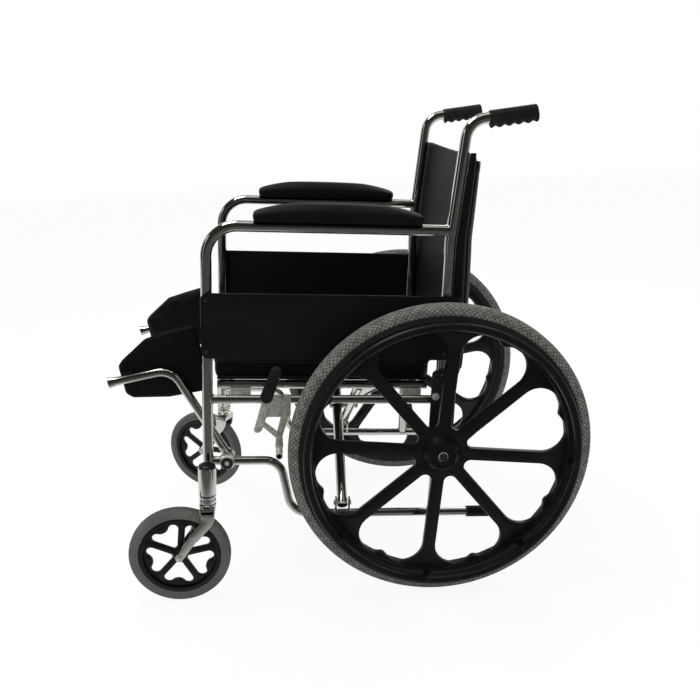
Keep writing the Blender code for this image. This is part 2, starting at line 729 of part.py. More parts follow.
def make_axle_group(name, side):
    """The axle plate on the back post and the axle bolt that the rear wheel turns on."""
    inner = FRAME_FACE + 0.0005
    outer = inner + AXLE_PLATE_THICKNESS
    low = (BACK_POST_ALONG - AXLE_PLATE_FRONT, AXLE_PLATE_LOW_RISE)
    high = (BACK_POST_ALONG + AXLE_PLATE_BACK, AXLE_PLATE_HIGH_RISE)
    plate = piece(
        f"axle_plate_{name}",
        prism(rounded_box(low, high, 0.010), side * inner, side * outer),
        BLACK_STEEL,
    )
    hole = stepped([inner - 0.01, (AXLE_RADIUS + GAP, outer + 0.01)], TUBE_SIDES, side=side)
    combine(plate, hole, "DIFFERENCE")

    hub_inner = WHEEL_SIDE - HUB_WIDTH / 2 - RUNNING_GAP
    hub_outer = WHEEL_SIDE + HUB_WIDTH / 2 + RUNNING_GAP
    shaft = [
        inner + GAP,
        (AXLE_RADIUS, outer + GAP),
        (AXLE_COLLAR_RADIUS, hub_inner),
        (AXLE_RADIUS, hub_outer),
        (AXLE_COLLAR_RADIUS, hub_outer + AXLE_HEAD),
    ]
    piece(f"rear_axle_{name}", stepped(shaft, TUBE_SIDES, side=side), ZINC)


def make_rear_wheel(name, side):
    """The tyre, the spoked wheel and the hand rim, upright on the axle."""
    axle = empty(f"rear_wheel_axis_{name}", (AXLE_X, side * WHEEL_SIDE, AXLE_HEIGHT))
    rim_radius = WHEEL_RADIUS - TYRE_HEIGHT
    half = TYRE_WIDTH / 2
    shoulder = [
        (WHEEL_RADIUS, TREAD_WIDTH / 2),
        (WHEEL_RADIUS - 0.004, half - TYRE_SHOULDER),
        (WHEEL_RADIUS - 0.016, half),
        (rim_radius + GAP, RIM_WIDTH / 2 - 0.002),
    ]
    profile = shoulder + [(radius, -along) for radius, along in reversed(shoulder)]
    piece(f"rear_tyre_{name}", turned(profile, WHEEL_SEGMENTS), GREY_RUBBER, axle)

    band = rim_radius - RIM_BAND
    face = [
        (AXLE_RADIUS + GAP, HUB_WIDTH / 2),
        (HUB_RADIUS * 0.72, HUB_WIDTH / 2),
        (HUB_RADIUS, WEB_THICKNESS / 2),
        (band, WEB_THICKNESS / 2),
        (band, RIM_WIDTH / 2),
        (rim_radius, RIM_WIDTH / 2),
    ]
    profile = face + [(radius, -along) for radius, along in reversed(face)]
    wheel = piece(f"rear_wheel_{name}", turned(profile, WHEEL_SEGMENTS), BLACK_PLASTIC, axle)
    openings = windows(
        WHEEL_SPOKES,
        side * WHEEL_SPOKE_TURN,
        HUB_WIDTH,
        spoke_width=WHEEL_SPOKE_WIDTH,
        lobe_radius=WHEEL_LOBE_RADIUS,
        reach=rim_radius - WHEEL_LOBE_MARGIN,
        tip_radius=WHEEL_HEART_TIP,
        lobe_points=6,
    )
    combine(wheel, openings, "DIFFERENCE")

    ring_side = RIM_WIDTH / 2 + HAND_RIM_STANDOFF
    tube_steps = [math.tau * (k + 0.5) / 6 for k in range(6)]
    profile = [
        (HAND_RIM_RADIUS + HAND_RIM_TUBE * math.cos(a), side * ring_side + HAND_RIM_TUBE * math.sin(a))
        for a in tube_steps
    ]
    ring = piece(f"push_rim_{name}", turned(profile, WHEEL_SEGMENTS), BLACK_PLASTIC, axle)
    tabs = bmesh.new()
    for k in range(HAND_RIM_TABS):
        angle = side * WHEEL_SPOKE_TURN + math.tau * k / HAND_RIM_TABS
        low, high = HAND_RIM_RADIUS - HAND_RIM_TAB_INNER, HAND_RIM_RADIUS - HAND_RIM_TAB_OUTER
        wide = HAND_RIM_TAB_WIDTH / 2
        corners = []
        for radius, offset in ((low, -wide), (high, -wide), (high, wide), (low, wide)):
            corners.append(
                (
                    radius * math.cos(angle) - offset * math.sin(angle),
                    radius * math.sin(angle) + offset * math.cos(angle),
                )
            )
        tab = prism(corners, side * (RIM_WIDTH / 2 + GAP), side * ring_side)
        mesh = bpy.data.meshes.new("tab")
        tab.to_mesh(mesh)
        tab.free()
        tabs.from_mesh(mesh)
        bpy.data.meshes.remove(mesh)
    combine(ring, tabs, "UNION")


def make_caster(name, side):
    """The housing on the frame, and the swivelling fork with its small wheel."""
    centre = (STEM_ALONG, side * CASTER_SIDE, 0.0)
    bore = STEM_RADIUS + RUNNING_GAP / 2
    profile = [
        (0.0, STEM_TOP_RISE + 0.003),
        (bore, STEM_TOP_RISE + 0.003),
        (bore, HOUSING_FOOT_RISE),
        (HOUSING_RADIUS, HOUSING_FOOT_RISE),
        (HOUSING_RADIUS, HOUSING_CAP_RISE),
        (HOUSING_RADIUS - 0.003, HOUSING_TOP_RISE),
        (0.0, HOUSING_TOP_RISE),
    ]
    housing = piece(f"caster_housing_{name}", turned(profile, 16, "Z", centre), CHROME)
    lug_inner = FRAME_FACE + GAP
    lug_outer = CASTER_SIDE - HOUSING_RADIUS * 0.8
    low = (STEM_ALONG - HOUSING_LUG / 2, POST_FOOT_RISE)
    high = (STEM_ALONG + HOUSING_LUG / 2, HOUSING_CAP_RISE - 0.004)
    lug = rounded_box(low, high, 0.002, 2)
    combine(housing, prism(lug, side * lug_inner, side * lug_outer), "UNION")

    turn = CASTER_TURN[name]
    camber = math.asin(math.sin(FRAME_LEAN) * math.sin(turn))
    reach_down = CASTER_HEIGHT * math.cos(camber) + CASTER_TREAD_WIDTH / 2 * math.sin(camber)
    sunk = reach_down - leaning(STEM_ALONG - CASTER_TRAIL * math.cos(turn), CASTER_RISE)[1]
    place = (STEM_ALONG, side * CASTER_SIDE, sunk / math.cos(FRAME_LEAN))
    swivel = empty(f"caster_swivel_axis_{name}", place, parent=LEAN)
    swivel.rotation_euler = (0.0, 0.0, -side * turn)
    collar = HOUSING_FOOT_RISE - RUNNING_GAP
    crown_low = CROWN_TOP_RISE - CROWN_THICKNESS
    profile = [
        (0.0, STEM_TOP_RISE),
        (STEM_RADIUS, STEM_TOP_RISE),
        (STEM_RADIUS, collar),
        (FORK_COLLAR_RADIUS, collar),
        (FORK_COLLAR_RADIUS, CROWN_TOP_RISE + 0.005),
        (FORK_SEAT_RADIUS, CROWN_TOP_RISE + 0.005),
        (FORK_SEAT_RADIUS, CROWN_TOP_RISE - 0.004),
        (0.0, CROWN_TOP_RISE - 0.004),
    ]
    fork = piece(f"caster_fork_{name}", turned(profile, 12, "Z"), CHROME, swivel)
    leg_inner = CASTER_TYRE_WIDTH / 2 + FORK_SIDE_GAP
    leg_outer = leg_inner + FORK_PLATE
    crown = rounded_box((-CROWN_REACH, -leg_outer), (CROWN_REACH, leg_outer), 0.002, 2)
    combine(fork, prism(crown, crown_low, CROWN_TOP_RISE, "Z"), "UNION")
    shank = FORK_SHANK_RADIUS
    leg = hull(
        [
            (-CASTER_TRAIL, CASTER_RISE, FORK_EYE_RADIUS),
            (-CROWN_REACH + shank + 0.001, crown_low - 0.012, shank),
            (-CROWN_REACH + shank + 0.001, CROWN_TOP_RISE - shank + 0.0005, shank - 0.001),
        ],
        6,
    )
    for facing in (-1, 1):
        combine(fork, prism(leg, facing * leg_inner, facing * leg_outer), "UNION")
    bolt = [
        -leg_outer - CASTER_BOLT_HEAD,
        (CASTER_BOLT_RADIUS, -leg_outer + GAP),
        (CASTER_AXLE_RADIUS, leg_outer - GAP),
        (CASTER_BOLT_RADIUS, leg_outer + CASTER_BOLT_HEAD),
    ]
    combine(fork, stepped(bolt, 8, "Y", (-CASTER_TRAIL, 0.0, CASTER_RISE)), "UNION")

    upright = -math.atan(math.tan(FRAME_LEAN) * math.cos(turn))
    place = (-CASTER_TRAIL, 0.0, CASTER_RISE)
    axle = empty(f"caster_wheel_axis_{name}", place, upright, swivel)
    rim_radius = CASTER_RADIUS - CASTER_TYRE_HEIGHT
    half = CASTER_TYRE_WIDTH / 2
    shoulder = [
        (CASTER_RADIUS, CASTER_TREAD_WIDTH / 2),
        (CASTER_RADIUS - 0.004, half - 0.0015),
        (CASTER_RADIUS - 0.011, half),
        (rim_radius + GAP, CASTER_RIM_WIDTH / 2),
    ]
    profile = shoulder + [(radius, -along) for radius, along in reversed(shoulder)]
    piece(f"caster_tyre_{name}", turned(profile, CASTER_SEGMENTS), GREY_RUBBER, axle)

    band = rim_radius - CASTER_RIM_BAND
    hub_half = leg_inner - RUNNING_GAP
    face = [
        (CASTER_AXLE_RADIUS + GAP, hub_half),
        (CASTER_HUB_RADIUS * 0.7, hub_half),
        (CASTER_HUB_RADIUS, CASTER_WEB_THICKNESS / 2),
        (band, CASTER_WEB_THICKNESS / 2),
        (band, CASTER_RIM_WIDTH / 2),
        (rim_radius, CASTER_RIM_WIDTH / 2),
    ]
    profile = face + [(radius, -along) for radius, along in reversed(face)]
    wheel = piece(f"caster_wheel_{name}", turned(profile, CASTER_SEGMENTS), BLACK_PLASTIC, axle)
    openings = windows(
        CASTER_SPOKES,
        CASTER_SPOKE_TURN[name],
        hub_half * 2,
        spoke_width=CASTER_SPOKE_WIDTH,
        lobe_radius=CASTER_LOBE_RADIUS,
        reach=rim_radius - CASTER_RIM_BAND - CASTER_LOBE_MARGIN,
        tip_radius=CASTER_HEART_TIP,
        lobe_points=5,
    )
    combine(wheel, openings, "DIFFERENCE")


def make_brake(name, side):
    """The parking brake: a hand lever, its link and the shoe arm, on a plate beside the upper rail.

    The layers follow each other outward, and each pivot is a rivet of the piece behind it.
    """

    def rivet(target, place, start, reach):
        x, z = place
        ends = [start, (RIVET_RADIUS, reach + GAP), (RIVET_HEAD_RADIUS, reach + GAP + RIVET_HEAD)]
        combine(target, stepped(ends, 8, "Y", (x, 0.0, z), side), "UNION")

    def bore(target, place, clearance):
        x, z = place
        ends = [POST_SIDE, (RIVET_RADIUS + clearance, plate_inner + 0.05)]
        combine(target, stepped(ends, 8, "Y", (x, 0.0, z), side), "DIFFERENCE")

    plate_inner = POST_SIDE + RAIL_RADIUS + RAIL_STANDOFF
    arm_inner = plate_inner + BRAKE_PLATE + GAP
    link_inner = arm_inner + BRAKE_PLATE + GAP
    lever_inner = link_inner + BRAKE_PLATE + GAP
    x, z = LEVER_PIVOT
    outline = [
        (x - 0.008, z - 0.008),
        (x + 0.008, z - 0.008),
        (x + 0.018, BRACKET_LOW_RISE),
        (SHOE_PIVOT[0] + 0.009, BRACKET_LOW_RISE),
        (SHOE_PIVOT[0] + 0.009, BRACKET_HIGH_RISE),
        (x + 0.012, BRACKET_HIGH_RISE),
    ]
    bracket = prism(outline, side * plate_inner, side * (plate_inner + BRAKE_PLATE))
    bracket = piece(f"brake_bracket_{name}", bracket, ZINC)
    rivet(bracket, LEVER_PIVOT, plate_inner + 0.001, lever_inner + BRAKE_PLATE)
    rivet(bracket, SHOE_PIVOT, plate_inner + 0.001, arm_inner + BRAKE_PLATE)

    arm = hull([(*SHOE_PIVOT, 0.008), (*SHOE_PIN, 0.0065), (*SHOE_PLACE, SHOE_RADIUS + 0.0012)], 5)
    shoe = prism(arm, side * arm_inner, side * (arm_inner + BRAKE_PLATE))
    shoe = piece(f"brake_shoe_{name}", shoe, ZINC)
    x, z = SHOE_PLACE
    bar = stepped([arm_inner + 0.001, (SHOE_RADIUS, arm_inner + SHOE_LENGTH)], 10, "Y", (x, 0.0, z), side)
    combine(shoe, bar, "UNION")
    bore(shoe, SHOE_PIVOT, GAP)
    rivet(shoe, SHOE_PIN, arm_inner + 0.001, link_inner + BRAKE_PLATE)

    link = hull([(*LEVER_PIN, BRAKE_EYE_RADIUS), (*SHOE_PIN, BRAKE_EYE_RADIUS)], 5)
    link = prism(link, side * link_inner, side * (link_inner + BRAKE_PLATE))
    link = piece(f"brake_link_{name}", link, ZINC)
    bore(link, SHOE_PIN, LINK_PLAY)
    rivet(link, LEVER_PIN, link_inner + 0.001, lever_inner + BRAKE_PLATE)

    bar = hull([(*LEVER_PIVOT, LEVER_HALF_WIDTH), (*LEVER_TOP, LEVER_HALF_WIDTH - 0.001)], 5)
    lever = prism(bar, side * lever_inner, side * (lever_inner + BRAKE_PLATE))
    lever = piece(f"brake_lever_{name}", lever, BLACK_STEEL)
    x, z = LEVER_PIVOT
    boss = stepped([arm_inner, (RIVET_HEAD_RADIUS, lever_inner + 0.001)], 10, "Y", (x, 0.0, z), side)
    combine(lever, boss, "UNION")
    share = (LEVER_GRIP_FOOT - LEVER_PIVOT[1]) / (LEVER_TOP[1] - LEVER_PIVOT[1])
    root = LEVER_PIVOT[0] + share * (LEVER_TOP[0] - LEVER_PIVOT[0])
    handle = hull([(root, LEVER_GRIP_FOOT + 0.010, LEVER_GRIP_RADIUS), (*LEVER_TOP, LEVER_TIP_RADIUS)], 7)
    grip = prism(handle, side * (lever_inner - GAP), side * (lever_inner + LEVER_GRIP_DEPTH))
    combine(lever, grip, "UNION")
    bore(lever, LEVER_PIVOT, GAP)
    bore(lever, LEVER_PIN, GAP)


def make_leg_support(name, side):
    """The clamp on the front rail, the bent tube that carries the leg, and the calf pad on it."""
    inner = LEG_SIDE + LEG_TUBE_RADIUS + RUNNING_GAP
    outer = POST_SIDE + CLAMP_HALF_HEIGHT
    low = FRONT_RAIL_RISE - CLAMP_HALF_HEIGHT
    high = FRONT_RAIL_RISE + CLAMP_HALF_HEIGHT
    ends = sorted((side * inner, side * outer))
    outline = rounded_box((ends[0], low), (ends[1], high), 0.004, 2)
    start = LEG_PIVOT[0] - CLAMP_LENGTH / 2
    clamp = piece(
        f"legrest_clamp_{name}", prism(outline, start, start + CLAMP_LENGTH, "X"), ZINC
    )
    seat = [start - 0.01, (RAIL_RADIUS + GAP, start + CLAMP_LENGTH + 0.01)]
    hole = stepped(seat, TUBE_SIDES, "X", (0.0, side * POST_SIDE, FRONT_RAIL_RISE))
    combine(clamp, hole, "DIFFERENCE")
    eye_inner = LEG_SIDE - LEG_TUBE_RADIUS - GAP
    place = (LEG_PIVOT[0], 0.0, LEG_PIVOT[1])
    stud = [
        eye_inner - GAP - LEG_BOLT_HEAD,
        (LEG_BOLT_HEAD_RADIUS, eye_inner - GAP),
        (LEG_BOLT_RADIUS, inner + 0.001),
    ]
    combine(clamp, stepped(stud, 10, "Y", place, side), "UNION")

    axis = empty(
        f"legrest_axis_{name}", (LEG_PIVOT[0], side * LEG_SIDE, LEG_PIVOT[1]), parent=LEAN
    )
    corners = [(a - LEG_PIVOT[0], b - LEG_PIVOT[1]) for a, b in (LEG_PIVOT, LEG_KNEE, LEG_END)]
    mouth = Vector((math.cos(LEG_SLOPE), 0.0, math.sin(LEG_SLOPE)))
    path = rounded([(a, 0.0, b) for a, b in corners], [LEG_BEND_RADIUS])
    flare_start = path[-1] + mouth * LEG_FLARE_LENGTH
    path = path[:-1] + [flare_start, path[-1]]
    radii = [LEG_TUBE_RADIUS] * (len(path) - 1) + [LEG_MOUTH_RADIUS]
    leg = piece(f"legrest_tube_{name}", tube(path, radii), CHROME, axis)
    deep = path[-1] + mouth * LEG_BORE_DEPTH
    bore = tube([deep, path[-1] - mouth * 0.01], [LEG_BORE, LEG_BORE + LEG_FLARE])
    combine(leg, bore, "DIFFERENCE")
    eye = [eye_inner - LEG_SIDE, (LEG_EYE_RADIUS, inner - RUNNING_GAP / 2 - LEG_SIDE)]
    combine(leg, stepped(eye, 14, side=side), "UNION")
    hole = [-0.05, (LEG_BOLT_RADIUS + GAP, 0.05)]
    combine(leg, stepped(hole, 10), "DIFFERENCE")

    hinge_along = LEG_END[0] + CALF_PAD_PLACE * math.cos(LEG_SLOPE)
    hinge_rise = LEG_END[1] + CALF_PAD_PLACE * math.sin(LEG_SLOPE)
    hinge = empty(
        f"calf_pad_axis_{name}",
        (hinge_along, side * LEG_SIDE, hinge_rise),
        -LEG_SLOPE,
        parent=LEAN,
    )
    outline = [
        (-CALF_PAD_FRONT, CALF_PAD_NOSE_TOP),
        (-CALF_PAD_FRONT, CALF_PAD_NOSE_FOOT),
        (-CALF_PAD_FRONT + CALF_PAD_CORNER, CALF_PAD_NOSE_FOOT - CALF_PAD_CORNER),
        (0.0, CALF_PAD_FOOT + CALF_PAD_CORNER / 4),
        (CALF_PAD_BACK - CALF_PAD_CORNER, CALF_PAD_FOOT),
        (CALF_PAD_BACK, CALF_PAD_FOOT + CALF_PAD_CORNER),
        (CALF_PAD_BACK, CALF_PAD_TOP - CALF_PAD_CORNER / 2),
        (CALF_PAD_BACK - CALF_PAD_CORNER / 2, CALF_PAD_TOP),
        (CALF_PAD_BACK / 3, CALF_PAD_TOP - CALF_PAD_CORNER / 4),
        (-CALF_PAD_FRONT + CALF_PAD_CHAMFER, CALF_PAD_TOP - CALF_PAD_CORNER / 2),
        (-CALF_PAD_FRONT + CALF_PAD_CORNER, CALF_PAD_NOSE_TOP + CALF_PAD_CORNER),
    ]
    face = -(LEG_TUBE_RADIUS + 0.0005)
    inset = CALF_PAD_EDGE
    shrink = 1 - inset / CALF_PAD_BACK
    small = [(a * shrink, b * shrink) for a, b in outline]
    deep_face = face - CALF_PAD_THICKNESS
    layers = [
        (small, face),
        (outline, face - inset),
        (outline, deep_face + inset),
        (small, deep_face),
    ]
    bm = bmesh.new()
    loops = [[bm.verts.new((a, side * y, b)) for a, b in shape] for shape, y in layers]
    for here, after in zip(loops, loops[1:]):
        for n in range(len(outline)):
            m = (n + 1) % len(outline)
            bm.faces.new((here[n], here[m], after[m], after[n]))
    bm.faces.new(loops[0])
    bm.faces.new(loops[-1])
    pad = piece(f"calf_pad_{name}", bm, BLACK_VINYL, hinge, smooth=60)
    trough = LEG_TUBE_RADIUS + GAP
    reach = arc_points((0.0, 0.0), trough * 1.03, math.radians(185), math.radians(355), 6)
    cradle = [(-trough - CALF_CLIP_WALL, face - 0.002)] + [(a, b) for a, b in reach]
    cradle += [(trough + CALF_CLIP_WALL, face - 0.002)]
    for along in (-CALF_CLIP_SPACING / 2, CALF_CLIP_SPACING / 2):
        clip = prism([(side * b, a) for a, b in cradle], along, along + CALF_CLIP_LENGTH, "X")
        combine(pad, clip, "UNION")


def make_saddle(name, side, end, along):
    """A block on the rail's inner side, with a trough that the seat tube drops into."""
    tube_side = SEAT_TUBE_SPACING / 2
    trough = SEAT_TUBE_RADIUS + GAP
    back = POST_SIDE - RAIL_RADIUS - GAP
    front = tube_side - trough - 0.002
    top = SEAT_TUBE_RISE - 0.004
    low = UPPER_RAIL_RISE - 0.008
    half = math.asin(math.sqrt(trough**2 - (SEAT_TUBE_RISE - top) ** 2) / trough)
    arc = arc_points(
        (tube_side, SEAT_TUBE_RISE), trough * 1.02, -math.pi / 2 + half, -math.pi / 2 - half, 5
    )
    outline = [(front, low), (back, low), (back, top)] + arc + [(front, top)]
    outline = [(side * y, rise) for y, rise in outline]
    start = along - SADDLE_LENGTH / 2
    bm = prism(outline, start, start + SADDLE_LENGTH, "X")
    piece(f"seat_saddle_{end}_{name}", bm, ZINC)


def make_cross_brace():
    """Two crossed arms on one bolt. Each stands on one side's rail and holds the other's seat tube."""
    low_side = POST_SIDE
    high_side = SEAT_TUBE_SPACING / 2
    rise = SEAT_TUBE_RISE - BRACE_PIVOT_RISE
    tilt = math.atan2(rise, low_side + high_side)
    span = math.hypot(rise, low_side + high_side)
    to_centre = low_side / math.cos(tilt)
    centre_rise = BRACE_PIVOT_RISE + low_side * math.tan(tilt)
    top = span - SEAT_TUBE_RADIUS - GAP
    for name, side, along, facing in (
        ("a", 1, BRACE_ALONG + BRACE_SPACING, 1),
        ("b", -1, BRACE_ALONG, -1),
    ):
        pivot = Vector((along, side * low_side, BRACE_PIVOT_RISE))
        heading = Vector((0.0, -side * math.cos(tilt), math.sin(tilt)))
        ends = [pivot - heading * BRACE_HEEL, pivot + heading * top]
        arm = piece(
            f"cross_arm_{name}", tube(ends, BRACE_TUBE_RADIUS, flat=(1.0, 0.0, 0.0)), CHROME
        )
        low = to_centre + GUSSET_CLEARANCE
        stretch = top - GUSSET_MARGIN - low
        root = BRACE_TUBE_RADIUS * 0.8
        edge = [
            (root + GUSSET_SPREAD * (0.06 + 0.94 * (k / 6) ** 1.8), low + stretch * k / 6)
            for k in range(7)
        ]
        outline = [(root, low)] + edge + [(root, low + stretch)]
        sheet = prism(
            [(facing * a, b) for a, b in outline], -GUSSET_THICKNESS / 2, GUSSET_THICKNESS / 2
        )
        stand = Matrix.Rotation(side * (math.pi / 2 - tilt), 4, "X")
        sheet.transform(Matrix.Translation(pivot) @ stand)
        combine(arm, sheet, "UNION")
        bore = [along - 0.02, (CENTRE_BOLT_RADIUS + GAP, along + 0.02)]
        combine(arm, stepped(bore, 10, "X", (0.0, 0.0, centre_rise)), "DIFFERENCE")

        seat_side = -side * high_side
        path = [(SEAT_TUBE_FRONT, seat_side, SEAT_TUBE_RISE), (SEAT_TUBE_BACK, seat_side, SEAT_TUBE_RISE)]
        where = "left" if side > 0 else "right"
        piece(f"seat_tube_{where}", tube(path, SEAT_TUBE_RADIUS), CHROME)

    reach = BRACE_TUBE_RADIUS + GAP
    second = BRACE_ALONG + BRACE_SPACING
    bolt = [
        BRACE_ALONG - reach - CENTRE_BOLT_HEAD,
        (CENTRE_BOLT_HEAD_RADIUS, BRACE_ALONG - reach),
        (CENTRE_BOLT_RADIUS, BRACE_ALONG + reach),
        (CENTRE_BOLT_HEAD_RADIUS, second - reach),
        (CENTRE_BOLT_RADIUS, second + reach),
        (CENTRE_BOLT_HEAD_RADIUS, second + reach + CENTRE_BOLT_HEAD),
    ]
    piece("centre_bolt", stepped(bolt, 10, "X", (0.0, 0.0, centre_rise)), ZINC)


def make_seat_cushion():
    """The padded seat that lies over both seat tubes, crowned, with sewn channels across it."""
    length = SEAT_BACK - SEAT_FRONT
    width = 2 * SEAT_HALF_WIDTH

    def height_at(a, b):
        crown = SEAT_CROWN * (1 - a**4) * (1 - b**4)
        sewn = math.cos(math.pi * (a + 1) / 2 * (SEAT_CHANNELS + 1)) ** 8
        inside = (1 - a**8) * (1 - b**8)
        return SEAT_EDGE_HEIGHT + crown - SEAT_CHANNEL_DEPTH * sewn * inside

    draw = SEAT_DRAW_IN / SEAT_HALF_WIDTH
    bm = soft_block(length * 0.985, width * 0.985, height_at, 30, 10, 0.03, draw, 0.985)
    centre = ((SEAT_FRONT + SEAT_BACK) / 2, 0.0, SEAT_TUBE_RISE + SEAT_TUBE_RADIUS + 0.0015)
    bmesh.ops.translate(bm, verts=bm.verts, vec=Vector(centre))
    piece("seat_cushion", bm, BLACK_VINYL, smooth=60)


def make_back_sling():
    """The padded back between the posts, sagging a little, with a flat pocket behind."""
    columns = 14
    rises = [BACK_LOW_RISE, POCKET_LOW_RISE - 0.002, POCKET_LOW_RISE]
    steps = 9
    rises += [
        POCKET_LOW_RISE + (POCKET_TOP_RISE - POCKET_LOW_RISE) * k / steps for k in range(1, steps)
    ]
    rises += [POCKET_TOP_RISE, POCKET_TOP_RISE + 0.002, BACK_HIGH_RISE]
    bm = bmesh.new()
    front = {}
    rear = {}
    for i in range(columns + 1):
        across = 2.0 * i / columns - 1.0
        side = BACK_HALF_WIDTH * across
        sag = BACK_SAG * (1 - across**2)
        for j, rise in enumerate(rises):
            height = (rise - BACK_LOW_RISE) / (BACK_HIGH_RISE - BACK_LOW_RISE)
            dip = BACK_DIP * (1 - across**2) * height**6
            belly = sag * (0.6 + 0.4 * math.sin(math.pi * height))
            along = back_post_along(rise) + (TUBE_RADIUS + SLING_CLEARANCE) / math.cos(BACK_RECLINE) + belly
            pocket = POCKET_LOW_RISE <= rise <= POCKET_TOP_RISE and abs(side) < POCKET_HALF_WIDTH
            thick = BACK_THICKNESS - BACK_TAPER * height + (POCKET_DEPTH if pocket else 0.0)
            edge = 0.004 * (across**12 + (2 * height - 1) ** 20)
            front[i, j] = bm.verts.new((along + edge, side, rise - dip))
            rear[i, j] = bm.verts.new((along + thick - edge, side, rise - dip))
    rows = len(rises) - 1
    for layer in (front, rear):
        for i in range(columns):
            for j in range(rows):
                bm.faces.new((layer[i, j], layer[i + 1, j], layer[i + 1, j + 1], layer[i, j + 1]))
    border = [(i, 0) for i in range(columns)] + [(columns, j) for j in range(rows)]
    border += [(i, rows) for i in range(columns, 0, -1)] + [(0, j) for j in range(rows, 0, -1)]
    for here, after in zip(border, border[1:] + border[:1]):
        bm.faces.new((front[here], front[after], rear[after], rear[here]))
    piece("back_sling", bm, BLACK_VINYL, smooth=60)


for side_name, side_sign in SIDES.items():
    make_frame_tubes(side_name, side_sign)
    make_rail_tip(side_name, side_sign)
    make_push_grip(side_name, side_sign)
    make_arm_pad(side_name, side_sign)
    make_side_panel(side_name, side_sign)
    make_axle_group(side_name, side_sign)
    make_rear_wheel(side_name, side_sign)
    make_caster(side_name, side_sign)
    make_brake(side_name, side_sign)
    make_leg_support(side_name, side_sign)
    for end_name, end_along in SADDLE_PLACES.items():
        make_saddle(side_name, side_sign, end_name, end_along)
make_cross_brace()
make_seat_cushion()
make_back_sling()
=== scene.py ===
# %% [markdown]
# # A folding wheelchair
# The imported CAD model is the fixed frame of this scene. It says where each piece is and how it
# moves. This file gives the chair its looks: finer shapes, upholstery and finishes, each piece
# built in the place of the CAD piece that it stands for and riding on the same body.

# %% Load the frame
import json
import math

import bmesh
import bpy
from mathutils import Matrix, Vector
from mathutils.geometry import tessellate_polygon

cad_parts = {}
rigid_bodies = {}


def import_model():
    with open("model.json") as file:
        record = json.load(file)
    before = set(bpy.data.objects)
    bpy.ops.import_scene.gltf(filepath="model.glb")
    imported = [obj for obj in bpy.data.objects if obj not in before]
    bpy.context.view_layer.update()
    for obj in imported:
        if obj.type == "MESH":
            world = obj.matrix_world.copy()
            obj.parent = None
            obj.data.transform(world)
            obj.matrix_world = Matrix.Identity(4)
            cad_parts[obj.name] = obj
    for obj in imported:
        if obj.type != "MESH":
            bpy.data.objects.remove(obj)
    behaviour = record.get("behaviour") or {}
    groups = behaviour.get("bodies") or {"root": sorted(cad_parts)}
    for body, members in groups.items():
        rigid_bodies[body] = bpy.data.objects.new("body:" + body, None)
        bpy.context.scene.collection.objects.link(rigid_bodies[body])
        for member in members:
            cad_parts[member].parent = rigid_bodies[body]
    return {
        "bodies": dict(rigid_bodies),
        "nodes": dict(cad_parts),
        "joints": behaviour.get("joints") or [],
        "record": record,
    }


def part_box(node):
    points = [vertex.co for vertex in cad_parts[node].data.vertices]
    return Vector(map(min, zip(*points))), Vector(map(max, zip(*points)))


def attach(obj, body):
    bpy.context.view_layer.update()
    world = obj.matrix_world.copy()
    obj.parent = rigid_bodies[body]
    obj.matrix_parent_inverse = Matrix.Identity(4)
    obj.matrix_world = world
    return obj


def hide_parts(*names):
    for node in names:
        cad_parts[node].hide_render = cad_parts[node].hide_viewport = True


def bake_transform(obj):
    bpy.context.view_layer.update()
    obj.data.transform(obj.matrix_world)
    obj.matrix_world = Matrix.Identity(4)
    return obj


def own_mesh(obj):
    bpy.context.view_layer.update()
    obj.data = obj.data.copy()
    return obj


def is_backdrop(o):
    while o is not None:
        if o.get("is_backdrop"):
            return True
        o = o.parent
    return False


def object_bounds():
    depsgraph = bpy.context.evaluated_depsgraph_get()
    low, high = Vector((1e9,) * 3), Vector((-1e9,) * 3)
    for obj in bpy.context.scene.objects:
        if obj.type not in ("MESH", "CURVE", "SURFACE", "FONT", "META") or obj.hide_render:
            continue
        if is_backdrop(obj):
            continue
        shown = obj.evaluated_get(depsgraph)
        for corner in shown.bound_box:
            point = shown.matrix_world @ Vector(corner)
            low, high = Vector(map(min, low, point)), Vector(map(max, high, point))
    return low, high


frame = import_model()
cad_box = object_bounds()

print("frame", len(frame["nodes"]), "nodes", [round(v, 3) for v in cad_box[1] - cad_box[0]])

# %% [markdown]
# The side frames lean back on the wheels by a few degrees. Measuring in that leaning frame keeps
# the posts upright and the rails level, so every size below is one that a ruler on the chair
# would read: along (rearward), side, and rise, from the rear axle.

# %% The leaning frame
FRAME_LEAN = math.radians(4.6)
POST_SIDE = 0.225
SIDES = {"left": -1, "right": 1}
axle_low, axle_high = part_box("rear_axle_left")
AXLE = Vector(((axle_low.x + axle_high.x) / 2, 0.0, (axle_low.z + axle_high.z) / 2))
LEANING = Matrix.Translation(AXLE) @ Matrix.Rotation(FRAME_LEAN, 4, "Y")
ACROSS = Matrix(((0, 1, 0, 0), (1, 0, 0, 0), (0, 0, 1, 0), (0, 0, 0, 1)))
FLAT = Matrix(((1, 0, 0, 0), (0, 0, 1, 0), (0, 1, 0, 0), (0, 0, 0, 1)))
print("rear axle at", [round(v, 4) for v in AXLE])

# %% [markdown]
# The camera stands where the photo was taken from: near the left side, a little ahead of the rear
# axle and above the arm rests. Its place was solved from the outlines of the four tyres, and the
# lens shift is the few pixels by which their common centre misses the middle of the picture.

